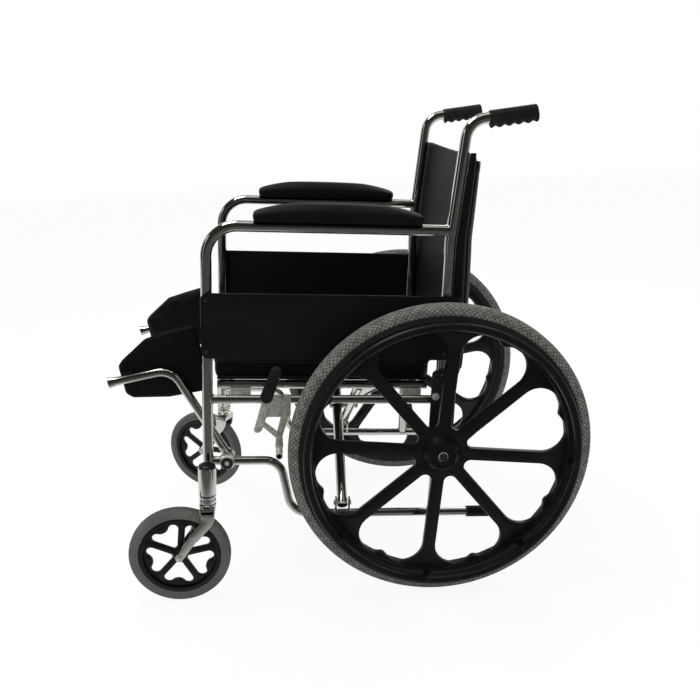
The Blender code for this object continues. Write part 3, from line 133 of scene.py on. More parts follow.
# %% Camera
PICTURE = 700
FOCAL_PIXELS = 813.3
CENTRE_PIXELS = (362.397, 356.684)
SENSOR = 36.0
CAMERA_ANGLES = (4.7225, 17.3873, -2.603)
CAMERA_FROM_AXLE = Vector((-0.2706, -1.7754, 0.6739))
yaw, pitch, roll = (math.radians(a) for a in CAMERA_ANGLES)
flat_ahead = Vector((math.sin(yaw), math.cos(yaw), 0.0)) * math.cos(pitch)
forward = flat_ahead - Vector((0.0, 0.0, math.sin(pitch)))
level = Vector((math.cos(yaw), -math.sin(yaw), 0.0))
upward = level.cross(forward)
turned_right = level * math.cos(roll) + upward * math.sin(roll)
turned_up = upward * math.cos(roll) - level * math.sin(roll)
lens = bpy.data.cameras.new("photo_camera")
lens.sensor_width = SENSOR
lens.lens = FOCAL_PIXELS / PICTURE * SENSOR
lens.shift_x = (PICTURE / 2 - CENTRE_PIXELS[0]) / PICTURE
lens.shift_y = (CENTRE_PIXELS[1] - PICTURE / 2) / PICTURE
lens.clip_start = 0.05
camera = bpy.data.objects.new("photo_camera", lens)
bpy.context.scene.collection.objects.link(camera)
facing = Matrix((turned_right, turned_up, -forward)).transposed().to_4x4()
camera.matrix_world = Matrix.Translation(AXLE + CAMERA_FROM_AXLE) @ facing
bpy.context.scene.camera = camera
print("camera", [round(v, 3) for v in camera.matrix_world.translation])

# %% [markdown]
# Shader maths reads best as sums, so a small class wraps a socket and lets Python's operators
# add the Math nodes. Everything else in a node tree comes from one method, `node`, which takes
# the node's type, its settings and what goes into its sockets.

# %% Sums with sockets
class Wire:
    """The output of a shader node, which can be added and scaled like a number."""

    def __init__(self, graph, socket):
        self.graph, self.socket = graph, socket

    def maths(self, operation, *values):
        return self.graph.node("ShaderNodeMath", {"operation": operation}, dict(enumerate(values)))

    def __add__(self, other):
        return self.maths("ADD", self, other)

    def __sub__(self, other):
        return self.maths("SUBTRACT", self, other)

    def __rsub__(self, other):
        return self.maths("SUBTRACT", other, self)

    def __mul__(self, other):
        return self.maths("MULTIPLY", self, other)

    __radd__ = __add__
    __rmul__ = __mul__

    def between(self, low, high):
        """0 below low, 1 above high, and a smooth rise from one to the other."""
        sockets = {"Value": self, "From Min": low, "From Max": high}
        return self.graph.node("ShaderNodeMapRange", {"interpolation_type": "SMOOTHSTEP"}, sockets)


class Graph:
    """A node tree that grows by one node at a time."""

    def __init__(self, tree):
        self.tree = tree
        tree.nodes.clear()

    def node(self, kind, settings=None, sockets=None, out=0):
        made = self.tree.nodes.new(kind)
        for key, value in (settings or {}).items():
            setattr(made, key, value)
        for key, value in (sockets or {}).items():
            if isinstance(value, Wire):
                self.tree.links.new(value.socket, made.inputs[key])
            elif isinstance(value, tuple) and made.inputs[key].type == "RGBA":
                made.inputs[key].default_value = (*value, 1.0)
            else:
                made.inputs[key].default_value = value
        return Wire(self, made.outputs[out]) if len(made.outputs) else made

    def outputs(self, wire, keys):
        """More outputs of the node that a wire comes from."""
        return [Wire(self, wire.socket.node.outputs[key]) for key in keys]

    def mix(self, share, first, second):
        """A colour that goes from the first to the second with the share."""
        sockets = {0: share, 6: first, 7: second}
        return self.node("ShaderNodeMix", {"data_type": "RGBA"}, sockets, 2)

    def place(self, stretch=(1.0, 1.0, 1.0)):
        """Where the shaded point is on its piece, in metres."""
        at = self.node("ShaderNodeTexCoord", out=3)
        return self.node("ShaderNodeMapping", {}, {"Vector": at, "Scale": stretch})

    def noise(self, scale, detail=3.0, stretch=(1.0, 1.0, 1.0)):
        sockets = {"Vector": self.place(stretch), "Scale": scale, "Detail": detail}
        return self.node("ShaderNodeTexNoise", {}, sockets)

    def cells(self, scale, feature="F1"):
        sockets = {"Vector": self.place(), "Scale": scale}
        return self.node("ShaderNodeTexVoronoi", {"feature": feature}, sockets)

    def bump(self, height, distance, strength=1.0):
        sockets = {"Height": height, "Distance": distance, "Strength": strength}
        return self.node("ShaderNodeBump", {}, sockets)


print("socket sums ready")

# %% [markdown]
# The studio is a white sweep in a dim room with a few tall light panels, which is what gives
# chrome its dark cores and bright streaks. The world shows white to the camera. To reflections it
# shows the sweep behind the chair, the panels beside it and overhead, and the dim room in front.
# Two soft lamps above light it plainly.

# %% Studio
SWEEP_WHITE = (1.0, 1.0, 1.0)
ROOM_DIM = (0.036, 0.035, 0.033)
ROOM_GLOW = (0.80, 0.80, 0.80)
RAYS = ("Is Camera Ray", "Is Glossy Ray", "Is Transmission Ray")
FLOOR_DROP = 0.0007
FLOOR_GLOW = 0.91
PANELS_AT = ((0.59, 0.65, 0.71, 0.77), (-0.92, -0.89, -0.85, -0.81))
LAMP_ROWS = (
    ("soft_lamp_over", (-0.7, 0.1, 2.7), (1.3, 0.8), 30.0),
    ("soft_lamp_rear", (1.3, 1.7, 2.0), (1.2, 1.2), 18.0),
)


def background_light():
    """The world's colour, by the kind of ray and by where it points."""
    world = bpy.data.worlds.new("studio")
    world.use_nodes = True
    graph = Graph(world.node_tree)
    straight, glossy, through = graph.outputs(graph.node("ShaderNodeLightPath"), RAYS)
    aim = graph.node("ShaderNodeTexCoord", out=0)
    split = graph.node("ShaderNodeSeparateXYZ", {}, {0: aim})
    along, depth, height = graph.outputs(split, range(3))
    bright = depth.between(0.42, 0.66) * (1 - height.between(0.45, 0.85))
    for start, full, fading, end in PANELS_AT:
        panel = along.between(start, full) * (1 - along.between(fading, end))
        panel = panel * (1 - height.between(0.5, 0.7))
        bright = bright.maths("MAXIMUM", bright, panel * 0.85)
    bright = bright.maths("MAXIMUM", bright, height.between(0.90, 0.96) * 0.9)
    mirrored = graph.mix(bright, ROOM_DIM, SWEEP_WHITE)
    plain = graph.mix(glossy, ROOM_GLOW, mirrored)
    colour = graph.mix(straight + through, plain, SWEEP_WHITE)
    light = graph.node("ShaderNodeBackground", {}, {"Color": colour})
    graph.node("ShaderNodeOutputWorld", {}, {"Surface": light})
    bpy.context.scene.world = world


def pale_floor():
    """A wide white disc that keeps the soft shadow under the chair."""
    mesh = bpy.data.meshes.new("studio_floor")
    bm = bmesh.new()
    bmesh.ops.create_circle(bm, cap_ends=True, segments=64, radius=9.0)
    bm.to_mesh(mesh)
    bm.free()
    floor = bpy.data.objects.new("studio_floor", mesh)
    floor.location.z = -FLOOR_DROP
    bpy.context.scene.collection.objects.link(floor)
    surface = bpy.data.materials.new("studio_floor")
    surface.use_nodes = True
    graph = Graph(surface.node_tree)
    paper = graph.node("ShaderNodeBsdfDiffuse", {}, {"Color": (0.95, 0.95, 0.95)})
    straight, glossy, through = graph.outputs(graph.node("ShaderNodeLightPath"), RAYS)
    spot = graph.node("ShaderNodeSeparateXYZ", {}, {0: graph.place()})
    lit = graph.outputs(spot, [1])[0].between(-0.75, -0.15)
    mirrored = graph.mix(lit, ROOM_DIM, SWEEP_WHITE)
    glow = graph.node("ShaderNodeEmission", {}, {"Color": graph.mix(glossy, SWEEP_WHITE, mirrored)})
    share = (straight + glossy + through) * FLOOR_GLOW
    both = graph.node("ShaderNodeMixShader", {}, {0: share, 1: paper, 2: glow})
    graph.node("ShaderNodeOutputMaterial", {}, {"Surface": both})
    mesh.materials.append(surface)
    floor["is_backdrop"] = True


def soft_lamp(name, place, size, power):
    light = bpy.data.lights.new(name, "AREA")
    light.shape = "RECTANGLE"
    light.size, light.size_y = size
    light.energy = power
    lamp = bpy.data.objects.new(name, light)
    lamp.location = place
    aim = Vector((0.0, 0.0, 0.45)) - Vector(place)
    lamp.rotation_euler = aim.to_track_quat("-Z", "Y").to_euler()
    bpy.context.scene.collection.objects.link(lamp)


background_light()
pale_floor()
for row in LAMP_ROWS:
    soft_lamp(*row)
bpy.context.scene.view_settings.view_transform = "Standard"
print("studio with", len(LAMP_ROWS), "lamps")

# %% [markdown]
# Each finish is a recipe that returns what goes into the Principled shader. The patterns are in
# metres on the piece itself, so grain and scratches keep their size from piece to piece and stay
# put when the chair folds or a wheel turns.

# %% Metal finishes
def chrome(graph):
    """Bright plating with a faint haze from handling and small specks of wear."""
    haze = graph.noise(11.0, 5.0).between(0.38, 0.72)
    specks = graph.noise(520.0, 2.0).between(0.66, 0.72)
    colour = graph.mix(haze, (0.56, 0.545, 0.515), (0.46, 0.445, 0.415))
    return {
        "Base Color": graph.mix(specks * 0.5, colour, (0.30, 0.27, 0.23)),
        "Roughness": 0.05 + haze * 0.07 + specks * 0.20,
        "Normal": graph.bump(graph.noise(70.0, 2.0), 0.0004, 0.25),
        "Metallic": 1.0,
    }


def zinc(graph):
    """Galvanised sheet: dull spangles and a fine rolled grain."""
    spangle = graph.cells(190.0)
    grain = graph.noise(900.0, 2.0, (0.12, 1.0, 1.0))
    colour = graph.mix(spangle.between(0.1, 0.9), (0.72, 0.71, 0.66), (0.52, 0.51, 0.47))
    return {
        "Base Color": graph.mix(graph.noise(60.0).between(0.55, 0.75), colour, (0.36, 0.33, 0.29)),
        "Roughness": 0.34 + spangle * 0.16 + grain * 0.10,
        "Normal": graph.bump(grain, 0.0002, 0.5),
        "Metallic": 0.62,
    }


def black_paint(graph):
    """Satin stoved paint with a slight orange peel and rubbed spots."""
    worn = graph.noise(38.0, 6.0).between(0.68, 0.78)
    return {
        "Base Color": graph.mix(worn, (0.012, 0.012, 0.013), (0.05, 0.05, 0.052)),
        "Roughness": 0.36 + worn * 0.2 + graph.noise(300.0) * 0.1,
        "Normal": graph.bump(graph.noise(480.0, 1.0), 0.0002, 0.6),
        "Specular IOR Level": 0.4,
    }


print("metal finishes written")

# %% Plastic, rubber and vinyl finishes
def black_plastic(graph):
    """Moulded nylon: a fine spark-eroded grain, with dust that settles in broad patches."""
    grain = graph.noise(1500.0, 2.0)
    dust = graph.noise(9.0, 6.0).between(0.50, 0.80)
    return {
        "Base Color": graph.mix(dust * 0.6, (0.0052, 0.0052, 0.0060), (0.0105, 0.0105, 0.0112)),
        "Roughness": 0.33 + dust * 0.14 + grain * 0.08,
        "Normal": graph.bump(grain, 0.00012, 0.7),
        "Specular IOR Level": 0.22,
    }


def black_rubber(graph):
    """Soft matt rubber, faintly mottled where hands polish it."""
    mottle = graph.noise(45.0, 4.0).between(0.35, 0.75)
    return {
        "Base Color": graph.mix(mottle, (0.0068, 0.0068, 0.0070), (0.0125, 0.0125, 0.0125)),
        "Roughness": 0.72 - mottle * 0.14,
        "Normal": graph.bump(graph.noise(1900.0, 2.0), 0.00015, 0.8),
        "Specular IOR Level": 0.25,
    }


WHEEL_RADIUS = 0.305
WHEEL_SIDE = 0.300
TREAD_DIAMONDS = 180
TREAD_PITCH = 0.0106


def grey_rubber(graph):
    """Non-marking grey tyre rubber with a bloom of dust and small scuffs."""
    bloom = graph.noise(14.0, 5.0).between(0.35, 0.75)
    scuff = graph.noise(260.0, 3.0).between(0.60, 0.70)
    colour = graph.mix(bloom, (0.088, 0.089, 0.083), (0.122, 0.122, 0.113))
    return {
        "Base Color": graph.mix(scuff * 0.6, colour, (0.055, 0.054, 0.051)),
        "Roughness": 0.78 + bloom * 0.12,
        "Normal": graph.bump(graph.noise(1100.0, 3.0), 0.0002, 0.7),
        "Specular IOR Level": 0.3,
    }


def tread_rubber(graph):
    """The rear tyre's grey rubber: pale diamonds, grooves darkened with painted shade, and a darker
    lower wall.
    """
    off_axle = graph.node("ShaderNodeVectorMath", {"operation": "SUBTRACT"},
                          {0: graph.place(), 1: tuple(AXLE)})
    x, y, z = graph.outputs(graph.node("ShaderNodeSeparateXYZ", {}, {0: off_axle}), range(3))
    upright = graph.node("ShaderNodeCombineXYZ", {}, {0: x, 2: z})
    radius = graph.node("ShaderNodeVectorMath", {"operation": "LENGTH"}, {0: upright}, 1)
    turn = x.maths("ARCTAN2", x, z * -1.0) * (TREAD_DIAMONDS / math.tau)
    off_middle = y.maths("ABSOLUTE", y) - WHEEL_SIDE
    lean = (y.maths("ABSOLUTE", off_middle) + (WHEEL_RADIUS - radius)) * (1 / TREAD_PITCH)
    slants = [turn + lean * way for way in (1.0, -1.0)]
    first, second = (slant.maths("PINGPONG", slant, 0.5) for slant in slants)
    knob_vs_groove_shade = (0.5 - first.maths("MAXIMUM", first, second)).between(0.03, 0.17)
    shoulder = radius.between(0.2835, 0.2870)
    rubber = grey_rubber(graph)
    soil = graph.noise(90.0, 4.0).between(0.3, 0.7)
    pale = graph.mix(soil, (0.235, 0.230, 0.212), (0.115, 0.113, 0.105))
    # The groove colour is painted shade: the cut grooves are made near black, as if in shadow.
    marked_with_groove_shade = graph.mix(knob_vs_groove_shade, (0.038, 0.037, 0.034), pale)
    rubber["Base Color"] = graph.mix(shoulder, (0.014, 0.014, 0.0135), marked_with_groove_shade)
    return rubber


def black_vinyl(graph):
    """Coated cloth: pebbles of leather grain with shiny tops and dull valleys."""
    pebble = graph.cells(620.0, "DISTANCE_TO_EDGE").between(0.02, 0.30)
    crease = graph.noise(26.0, 5.0)
    return {
        "Base Color": graph.mix(pebble, (0.0040, 0.0040, 0.0044), (0.0074, 0.0074, 0.0080)),
        "Roughness": 0.56 - pebble * 0.12 + crease * 0.10,
        "Normal": graph.bump(pebble + crease * 0.8, 0.00028, 0.55),
        "Specular IOR Level": 0.10,
        "Sheen Weight": 0.008,
        "Sheen Roughness": 0.4,
    }


def sewing_thread(graph):
    """Twisted polyester thread, a shade lighter than the vinyl."""
    twist = graph.noise(2600.0, 1.0)
    return {
        "Base Color": graph.mix(twist, (0.012, 0.012, 0.013), (0.035, 0.035, 0.036)),
        "Roughness": 0.7 + twist * 0.1,
        "Normal": graph.bump(twist, 0.0002, 0.8),
    }


print("soft finishes written")


# %% Mix the finishes
def mixed_finish(name, recipe):
    surface = bpy.data.materials.new(name)
    surface.use_nodes = True
    graph = Graph(surface.node_tree)
    shader = graph.node("ShaderNodeBsdfPrincipled", {}, recipe(graph))
    graph.node("ShaderNodeOutputMaterial", {}, {"Surface": shader})
    return surface


RECIPES = {
    "chrome_steel": chrome,
    "zinc_steel": zinc,
    "black_steel": black_paint,
    "black_plastic": black_plastic,
    "black_rubber": black_rubber,
    "grey_rubber": grey_rubber,
    "black_vinyl": black_vinyl,
}
FINISH = {slot: mixed_finish(f"{slot}_finish", recipe) for slot, recipe in RECIPES.items()}
THREAD = mixed_finish("sewing_thread_finish", sewing_thread)
TREAD = mixed_finish("tread_rubber_finish", tread_rubber)
print("finishes", sorted(FINISH))

# %% [markdown]
# A shape here is a list of points and a list of faces. Shapes are drawn with small helpers for what
# a workshop does: turn on a lathe, bend tube, cut sheet. They are joined, put in place by a matrix,
# and become an object only at the end, with its finish and body.

# %% From shape to piece
def joined(*shapes):
    points, faces = [], []
    for some_points, some_faces in shapes:
        first = len(points)
        points += some_points
        faces += [[first + k for k in face] for face in some_faces]
    return points, faces


def moved(shape, matrix):
    return [matrix @ Vector(point) for point in shape[0]], shape[1]


def shifted(shape, along=0.0, side=0.0, rise=0.0):
    return moved(shape, Matrix.Translation((along, side, rise)))


def mesh_object(name, shape, place, smooth=35):
    mesh = bpy.data.meshes.new(name)
    mesh.from_pydata([place @ Vector(point) for point in shape[0]], [], shape[1])
    bm = bmesh.new()
    bm.from_mesh(mesh)
    bmesh.ops.remove_doubles(bm, verts=bm.verts, dist=1e-6)
    bmesh.ops.dissolve_degenerate(bm, edges=bm.edges, dist=1e-6)
    bmesh.ops.recalc_face_normals(bm, faces=bm.faces)
    bm.to_mesh(mesh)
    bm.free()
    mesh.shade_smooth()
    if smooth < 60:
        for face in mesh.polygons:
            face.use_smooth = len(face.vertices) == 4
    mesh.set_sharp_from_angle(angle=math.radians(smooth))
    made = bpy.data.objects.new(name, mesh)
    bpy.context.scene.collection.objects.link(made)
    return made


def dressed(made, slot, body, stands_for=(), finish=None):
    """Gives an object its finish, picked by slot name unless one is given, and lets it ride in
    place of CAD nodes.
    """
    made.data.materials.append(finish or FINISH[slot])
    if body:
        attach(made, body)
    if stands_for:
        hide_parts(*stands_for)
    return made


def build(name, shape, slot, body, stands_for=(), place=LEANING, smooth=35, finish=None):
    return dressed(mesh_object(name, shape, place, smooth), slot, body, stands_for, finish)


def on_both_sides(*makers):
    for name, side in SIDES.items():
        for make in makers:
            make(name, side)


print("piece helpers ready")


# %% Rings of points
def around(count):
    """The angles of a whole turn in equal steps."""
    return [math.tau * k / count for k in range(count)]


def ring(middle, first, second, radius, sides):
    """Points round a circle in the plane of two directions."""
    return [middle + (first * math.cos(a) + second * math.sin(a)) * radius for a in around(sides)]


def strips(rings, sides, closed=False):
    """The faces between rings that follow each other in a list of points."""
    faces = []
    for k in range(rings if closed else rings - 1):
        here, after = k * sides, (k + 1) % rings * sides
        for n in range(sides):
            m = (n + 1) % sides
            faces.append([here + n, here + m, after + m, after + n])
    return faces


def lofted(points, sides):
    """A solid through rings of points, with a flat face at each end."""
    ends = [list(range(sides)), list(range(len(points) - sides, len(points)))]
    return points, strips(len(points) // sides, sides) + ends


print("ring helpers ready")


# %% Lathe, bender and sheet cutter
def rounded(corners, radius, step=math.radians(7)):
    """A path whose corners are arcs. The radius gives way where a straight run is short."""
    corners = [Vector(corner).to_3d() for corner in corners]
    radii = radius if isinstance(radius, list) else [radius] * (len(corners) - 2)
    path = [corners[0]]
    for before, corner, after, wanted in zip(corners, corners[1:], corners[2:], radii):
        into, out = (corner - before).normalized(), (after - corner).normalized()
        bend = into.angle(out)
        if bend < 1e-3:
            path.append(corner)
            continue
        room = 0.48 * min((corner - before).length, (after - corner).length)
        size = min(wanted, room / math.tan(bend / 2))
        centre = corner + (out - into).normalized() * size / math.cos(bend / 2)
        start = corner - into * size * math.tan(bend / 2) - centre
        count = max(2, round(bend / step))
        axis = into.cross(out)
        turns = [Matrix.Rotation(bend * k / count, 3, axis) for k in range(count + 1)]
        path += [centre + turn @ start for turn in turns]
    return path + [corners[-1]]


STAND = {"X": Matrix.Rotation(-math.pi / 2, 4, "Z"), "Y": Matrix(),
         "Z": Matrix.Rotation(math.pi / 2, 4, "X")}


def turned(profile, steps=48, axis="Y", centre=(0.0, 0.0, 0.0), ease=0.0, ripple=None):
    """A lathe shape from (radius, distance) points: solid if they start and end on the axis."""
    if ease:
        solid = profile[0][0] == 0
        loop = profile if solid else profile[-1:] + profile + profile[:1]
        eased = [(p.x, p.y) for p in rounded(loop, ease, math.radians(22))]
        profile = eased if solid else eased[1:-1]
    points, faces, rings = [], [], []
    for radius, along in profile:
        first = len(points)
        if radius < 1e-7:
            points.append(Vector((0.0, along, 0.0)))
            rings.append([first] * steps)
            continue
        rings.append(list(range(first, first + steps)))
        for angle in around(steps):
            reach = radius + (ripple(angle, radius, along) if ripple else 0.0)
            points.append(Vector((reach * math.sin(angle), along, -reach * math.cos(angle))))
    open_ends = profile[0][0] > 0 or profile[-1][0] > 0
    for here, after in zip(rings, rings[1:] + (rings[:1] if open_ends else [])):
        for k in range(steps):
            m = (k + 1) % steps
            face = list(dict.fromkeys((here[k], here[m], after[m], after[k])))
            if len(face) > 2:
                faces.append(face)
    return moved((points, faces), Matrix.Translation(centre) @ STAND[axis])


def rod(radius, start, end):
    """The lathe profile of a plain round bar."""
    return [(0.0, start), (radius, start), (radius, end), (0.0, end)]


def band(inner, outer, start, end):
    """The lathe profile of a plain ring."""
    return [(inner, start), (outer, start), (outer, end), (inner, end)]


def flipped(profile, side):
    """A lathe profile drawn outward from the middle of the chair."""
    return [(radius, side * along) for radius, along in profile]


def mirrored(profile):
    """A lathe profile with the same steps on its other side."""
    return profile + flipped(profile, -1)[::-1]


def bent_tube(path, radius, sides=28):
    """Tube along a path, with one radius or one for each point."""
    path = [Vector(point) for point in path]
    radii = radius if isinstance(radius, list) else [radius] * len(path)
    heading = (path[1] - path[0]).normalized()
    aside = Vector((0, 1, 0)) if abs(heading.y) < 0.9 else Vector((1, 0, 0))
    across = heading.cross(aside).normalized()
    points = []
    for k, point in enumerate(path):
        ahead = (path[min(k + 1, len(path) - 1)] - path[max(k - 1, 0)]).normalized()
        across = (across - ahead * across.dot(ahead)).normalized()
        points += ring(point, across, ahead.cross(across), radii[k], sides)
    return lofted(points, sides)


def neighbours(loop):
    """Each item of a closed loop with the one before and the one after it."""
    return zip(loop[-1:] + loop[:-1], loop, loop[1:] + loop[:1])


def inset(outline, amount):
    """The outline moved sideways by an amount, inward where it is positive."""
    result = []
    for before, here, after in neighbours(outline):
        into = (Vector(here) - Vector(before)).normalized()
        out = (Vector(after) - Vector(here)).normalized()
        normal = Vector((-into.y - out.y, into.x + out.x)).normalized()
        stretch = max(0.5, normal.dot(Vector((-into.y, into.x))))
        result.append(Vector(here) + normal * amount / stretch)
    return result


def anticlockwise(loop):
    area = sum(a[0] * b[1] - a[1] * b[0] for a, b in zip(loop, loop[1:] + loop[:1]))
    return loop if area > 0 else loop[::-1]


def cut_sheet(outline, holes=(), thickness=0.004, edge=0.001):
    """Sheet cut to an outline with holes, edges rounded, lying across the side axis."""
    half = thickness / 2
    levels = [(edge, half), (0.3 * edge, half - 0.3 * edge), (0.0, half - edge)]
    levels += [(amount, -height) for amount, height in reversed(levels)]
    points, faces, upper, lower, flat = [], [], [], [], []
    for number, loop in enumerate([outline, *holes]):
        loop = anticlockwise([Vector(point) for point in loop])
        first, count = len(points), len(loop)
        for amount, height in levels:
            rim = inset(loop, amount if number == 0 else -amount)
            points += [Vector((p.x, height, p.y)) for p in rim]
        faces += [[first + k for k in face] for face in strips(len(levels), count)]
        upper += range(first, first + count)
        lower += range(len(points) - count, len(points))
        flat.append([Vector((p.x, p.z, 0.0)) for p in points[first:first + count]])
    for triangle in tessellate_polygon(flat):
        faces.append([upper[k] for k in triangle])
        faces.append([lower[k] for k in reversed(triangle)])
    return points, faces


def arc(centre, radius, start, end, count):
    angles = [start + (end - start) * k / (count - 1) for k in range(count)]
    return [(centre[0] + radius * math.cos(a), centre[1] + radius * math.sin(a)) for a in angles]


def rounded_outline(corners, radius):
    """A closed outline with every corner rounded, run anticlockwise."""
    middle = [(a + b) / 2 for a, b in zip(corners[0], corners[-1])]
    path = rounded([middle, *corners, middle], radius, math.radians(12))[:-1]
    return anticlockwise([(p.x, p.y) for p in path])


def oblong(low, high, radius):
    """A rectangle with rounded corners, from its two far corners."""
    return rounded_outline([low, (high[0], low[1]), high, (low[0], high[1])], radius)


print("lathe, bender and sheet cutter ready")


# %% Fasteners
def hex_head(centre, radius, height, axis="Y", facing=1):
    """A hexagon head with chamfered corners, standing on its centre."""
    profile = [(0.0, 0.0), (radius, 0.0), (radius, 0.78 * height), (0.86 * radius, height),
               (0.0, height)]
    return turned(flipped(profile, facing), 6, axis, centre)


def dome_head(centre, radius, height, facing=1):
    """A rivet's or pan screw's low dome."""
    dome = [(radius * math.cos(a), height * (0.25 + 0.75 * math.sin(a)))
            for a in (0.0, 0.4, 0.8, 1.2)]
    profile = [(0.0, 0.0), (radius, 0.0), *dome, (0.0, height)]
    return turned(flipped(profile, facing), 24, centre=centre)


def washered_head(centre, side, washer, thickness, head, height):
    """A hexagon head on its round washer, facing outward."""
    along, face, rise = centre
    disc = turned(flipped(rod(washer, 0.0, thickness), side), 32, centre=centre, ease=0.0003)
    return joined(disc, hex_head((along, face + side * thickness, rise), head, height, facing=side))


print("fasteners ready")

# %% [markdown]
# Each side frame is bent from two tubes: one goes up the front and back along the arm, the other
# goes up the back and out to the push handle. Two rails join them. The rails run right into the
# posts, and a ring of weld follows the line where the two round surfaces meet.

# %% Frame measures
GAP = 0.0003
TUBE_RADIUS = 0.0108
RAIL_RADIUS = 0.009
FRAME_FACE = POST_SIDE + TUBE_RADIUS
FRONT_POST_ALONG, FRONT_POST_LEAN = -0.466, 0.0035
BACK_POST_ALONG = 0.0055
POST_FOOT_RISE = -0.100
ARM_RISE = 0.4305
UPPER_RAIL_RISE = 0.084
FRONT_RAIL_RISE = -0.050
LOW_RAIL_RISE = -0.172
LOW_RAIL_END = 0.128
RAIL_STEP = (-0.320, -0.2935)
BACK_BREAK_RISE = 0.412
BACK_TOP_RISE = 0.636
BACK_RECLINE = math.radians(4.95)
HANDLE_SLOPE = math.radians(9.6)
HANDLE_LENGTH = 0.124
BRACE_ALONG = {"right": -0.157, "left": -0.188}
BRACE_PIVOT_RISE = -0.148
BRACE_TUBE_RADIUS = 0.011


def front_post_along(rise):
    share = (rise - POST_FOOT_RISE) / (ARM_RISE - POST_FOOT_RISE)
    return FRONT_POST_ALONG + FRONT_POST_LEAN * share


def back_post_along(rise):
    return BACK_POST_ALONG + max(0.0, rise - BACK_BREAK_RISE) * math.tan(BACK_RECLINE)


def handle_point(distance):
    """A place on the push handle's axis, this far behind the corner above the back post."""
    along = back_post_along(BACK_TOP_RISE) + distance * math.cos(HANDLE_SLOPE)
    return along, BACK_TOP_RISE + distance * math.sin(HANDLE_SLOPE)


def weld_bead(centre, rail_radius, post_radius, facing=1, steps=84):
    """The ring of weld round a rail where it meets an upright post, with the welder's ripples."""
    points, ahead = [], Vector((facing, 0.0, 0.0))
    for turn in around(steps):
        radial = Vector((0.0, math.sin(turn), math.cos(turn)))
        seat = math.sqrt(max(0.0, post_radius**2 - (rail_radius * math.sin(turn)) ** 2))
        middle = Vector(centre) + radial * rail_radius + ahead * seat
        points += ring(middle, radial, ahead, 0.0018 * (1 + 0.16 * math.sin(21 * turn)), 8)
    return points, strips(steps, 8, closed=True)


def clevis_plates(side, along):
    """The two ears on the lower rail that hold the foot of a cross arm."""
    y, z = side * POST_SIDE, BRACE_PIVOT_RISE
    corners = [(y + 0.011, LOW_RAIL_RISE), (y + 0.011, z), (y + 0.0065, z + 0.013),
               (y - 0.0065, z + 0.013), (y - 0.011, z), (y - 0.011, LOW_RAIL_RISE)]
    sheet = moved(cut_sheet(rounded_outline(corners, 0.006), (), 0.004, 0.0008), ACROSS)
    reach = BRACE_TUBE_RADIUS + 0.003
    return joined(shifted(sheet, along - reach), shifted(sheet, along + reach))


def side_frame(name, side):
    y, body = side * POST_SIDE, f"{name}_side"

    def path(*places):
        return [(along, y, rise) for along, rise in places]

    def tubing(piece, node, *shapes):
        build(f"{piece}_{name}", joined(*shapes), "chrome_steel", body, [f"{node}_{name}"])

    front = path((front_post_along(POST_FOOT_RISE), POST_FOOT_RISE),
                 (front_post_along(ARM_RISE), ARM_RISE), (back_post_along(ARM_RISE), ARM_RISE))
    tubing("arm_tube", "front_post", bent_tube(rounded(front, 0.060), TUBE_RADIUS),
           weld_bead(front[-1], TUBE_RADIUS, TUBE_RADIUS, -1))
    back = path((BACK_POST_ALONG, LOW_RAIL_RISE), (BACK_POST_ALONG, BACK_BREAK_RISE),
                (back_post_along(BACK_TOP_RISE), BACK_TOP_RISE), handle_point(HANDLE_LENGTH))
    foot = moved(weld_bead((0, 0, 0), TUBE_RADIUS, RAIL_RADIUS),
                 Matrix.Translation(back[0]) @ Matrix.Rotation(-math.pi / 2, 4, "Y"))
    tubing("push_tube", "back_post", bent_tube(rounded(back, [0.300, 0.042]), TUBE_RADIUS), foot)
    upper = path((front_post_along(UPPER_RAIL_RISE), UPPER_RAIL_RISE),
                 (BACK_POST_ALONG, UPPER_RAIL_RISE))
    beads = [weld_bead(end, RAIL_RADIUS, TUBE_RADIUS, facing)
             for end, facing in zip(upper, (1, -1))]
    tubing("seat_rail", "upper_rail", bent_tube(upper, RAIL_RADIUS), *beads)
    low = path((front_post_along(FRONT_RAIL_RISE), FRONT_RAIL_RISE),
               (RAIL_STEP[0], FRONT_RAIL_RISE), (RAIL_STEP[1], LOW_RAIL_RISE),
               (LOW_RAIL_END, LOW_RAIL_RISE))
    tubing("stepped_rail", "lower_rail", bent_tube(rounded(low, [0.039, 0.046]), RAIL_RADIUS),
           clevis_plates(side, BRACE_ALONG[name]), weld_bead(low[0], RAIL_RADIUS, TUBE_RADIUS))
    stopper = TUBE_RADIUS - 0.0002
    plug = turned([(0.0, 0.010), (stopper, 0.010), (stopper, 0.0), (0.0075, -0.004),
                   (0.0, -0.0045)], 40, "Z", front[0], 0.0012)
    build(f"post_plug_{name}", plug, "black_plastic", body)
    heads = [shifted(hex_head((0, 0, 0), 0.0052, 0.0028, "X", facing),
                     BRACE_ALONG[name] + facing * (BRACE_TUBE_RADIUS + 0.005), y, BRACE_PIVOT_RISE)
             for facing in (-1, 1)]
    build(f"brace_foot_bolt_{name}", joined(*heads), "zinc_steel", body)


on_both_sides(side_frame)
print("side frames bent and welded")

# %% [markdown]
# The push grips are moulded rubber sleeves with finger hollows below and a smooth back. They are
# lofted ring by ring: the under half of each ring swells and shrinks along the handle. A ribbed
# rubber ferrule closes the rear end of each lower rail, where a foot presses to tip the chair.

# %% Push grips and rail ferrules
GRIP_LENGTH = 0.091
GRIP_RADIUS = 0.0133
GRIP_RIDGE = 0.0066
GRIP_START = 0.040
GRIP_SIDES = 40
FERRULE_WALL = 0.0025
FERRULE_RIBS = 11


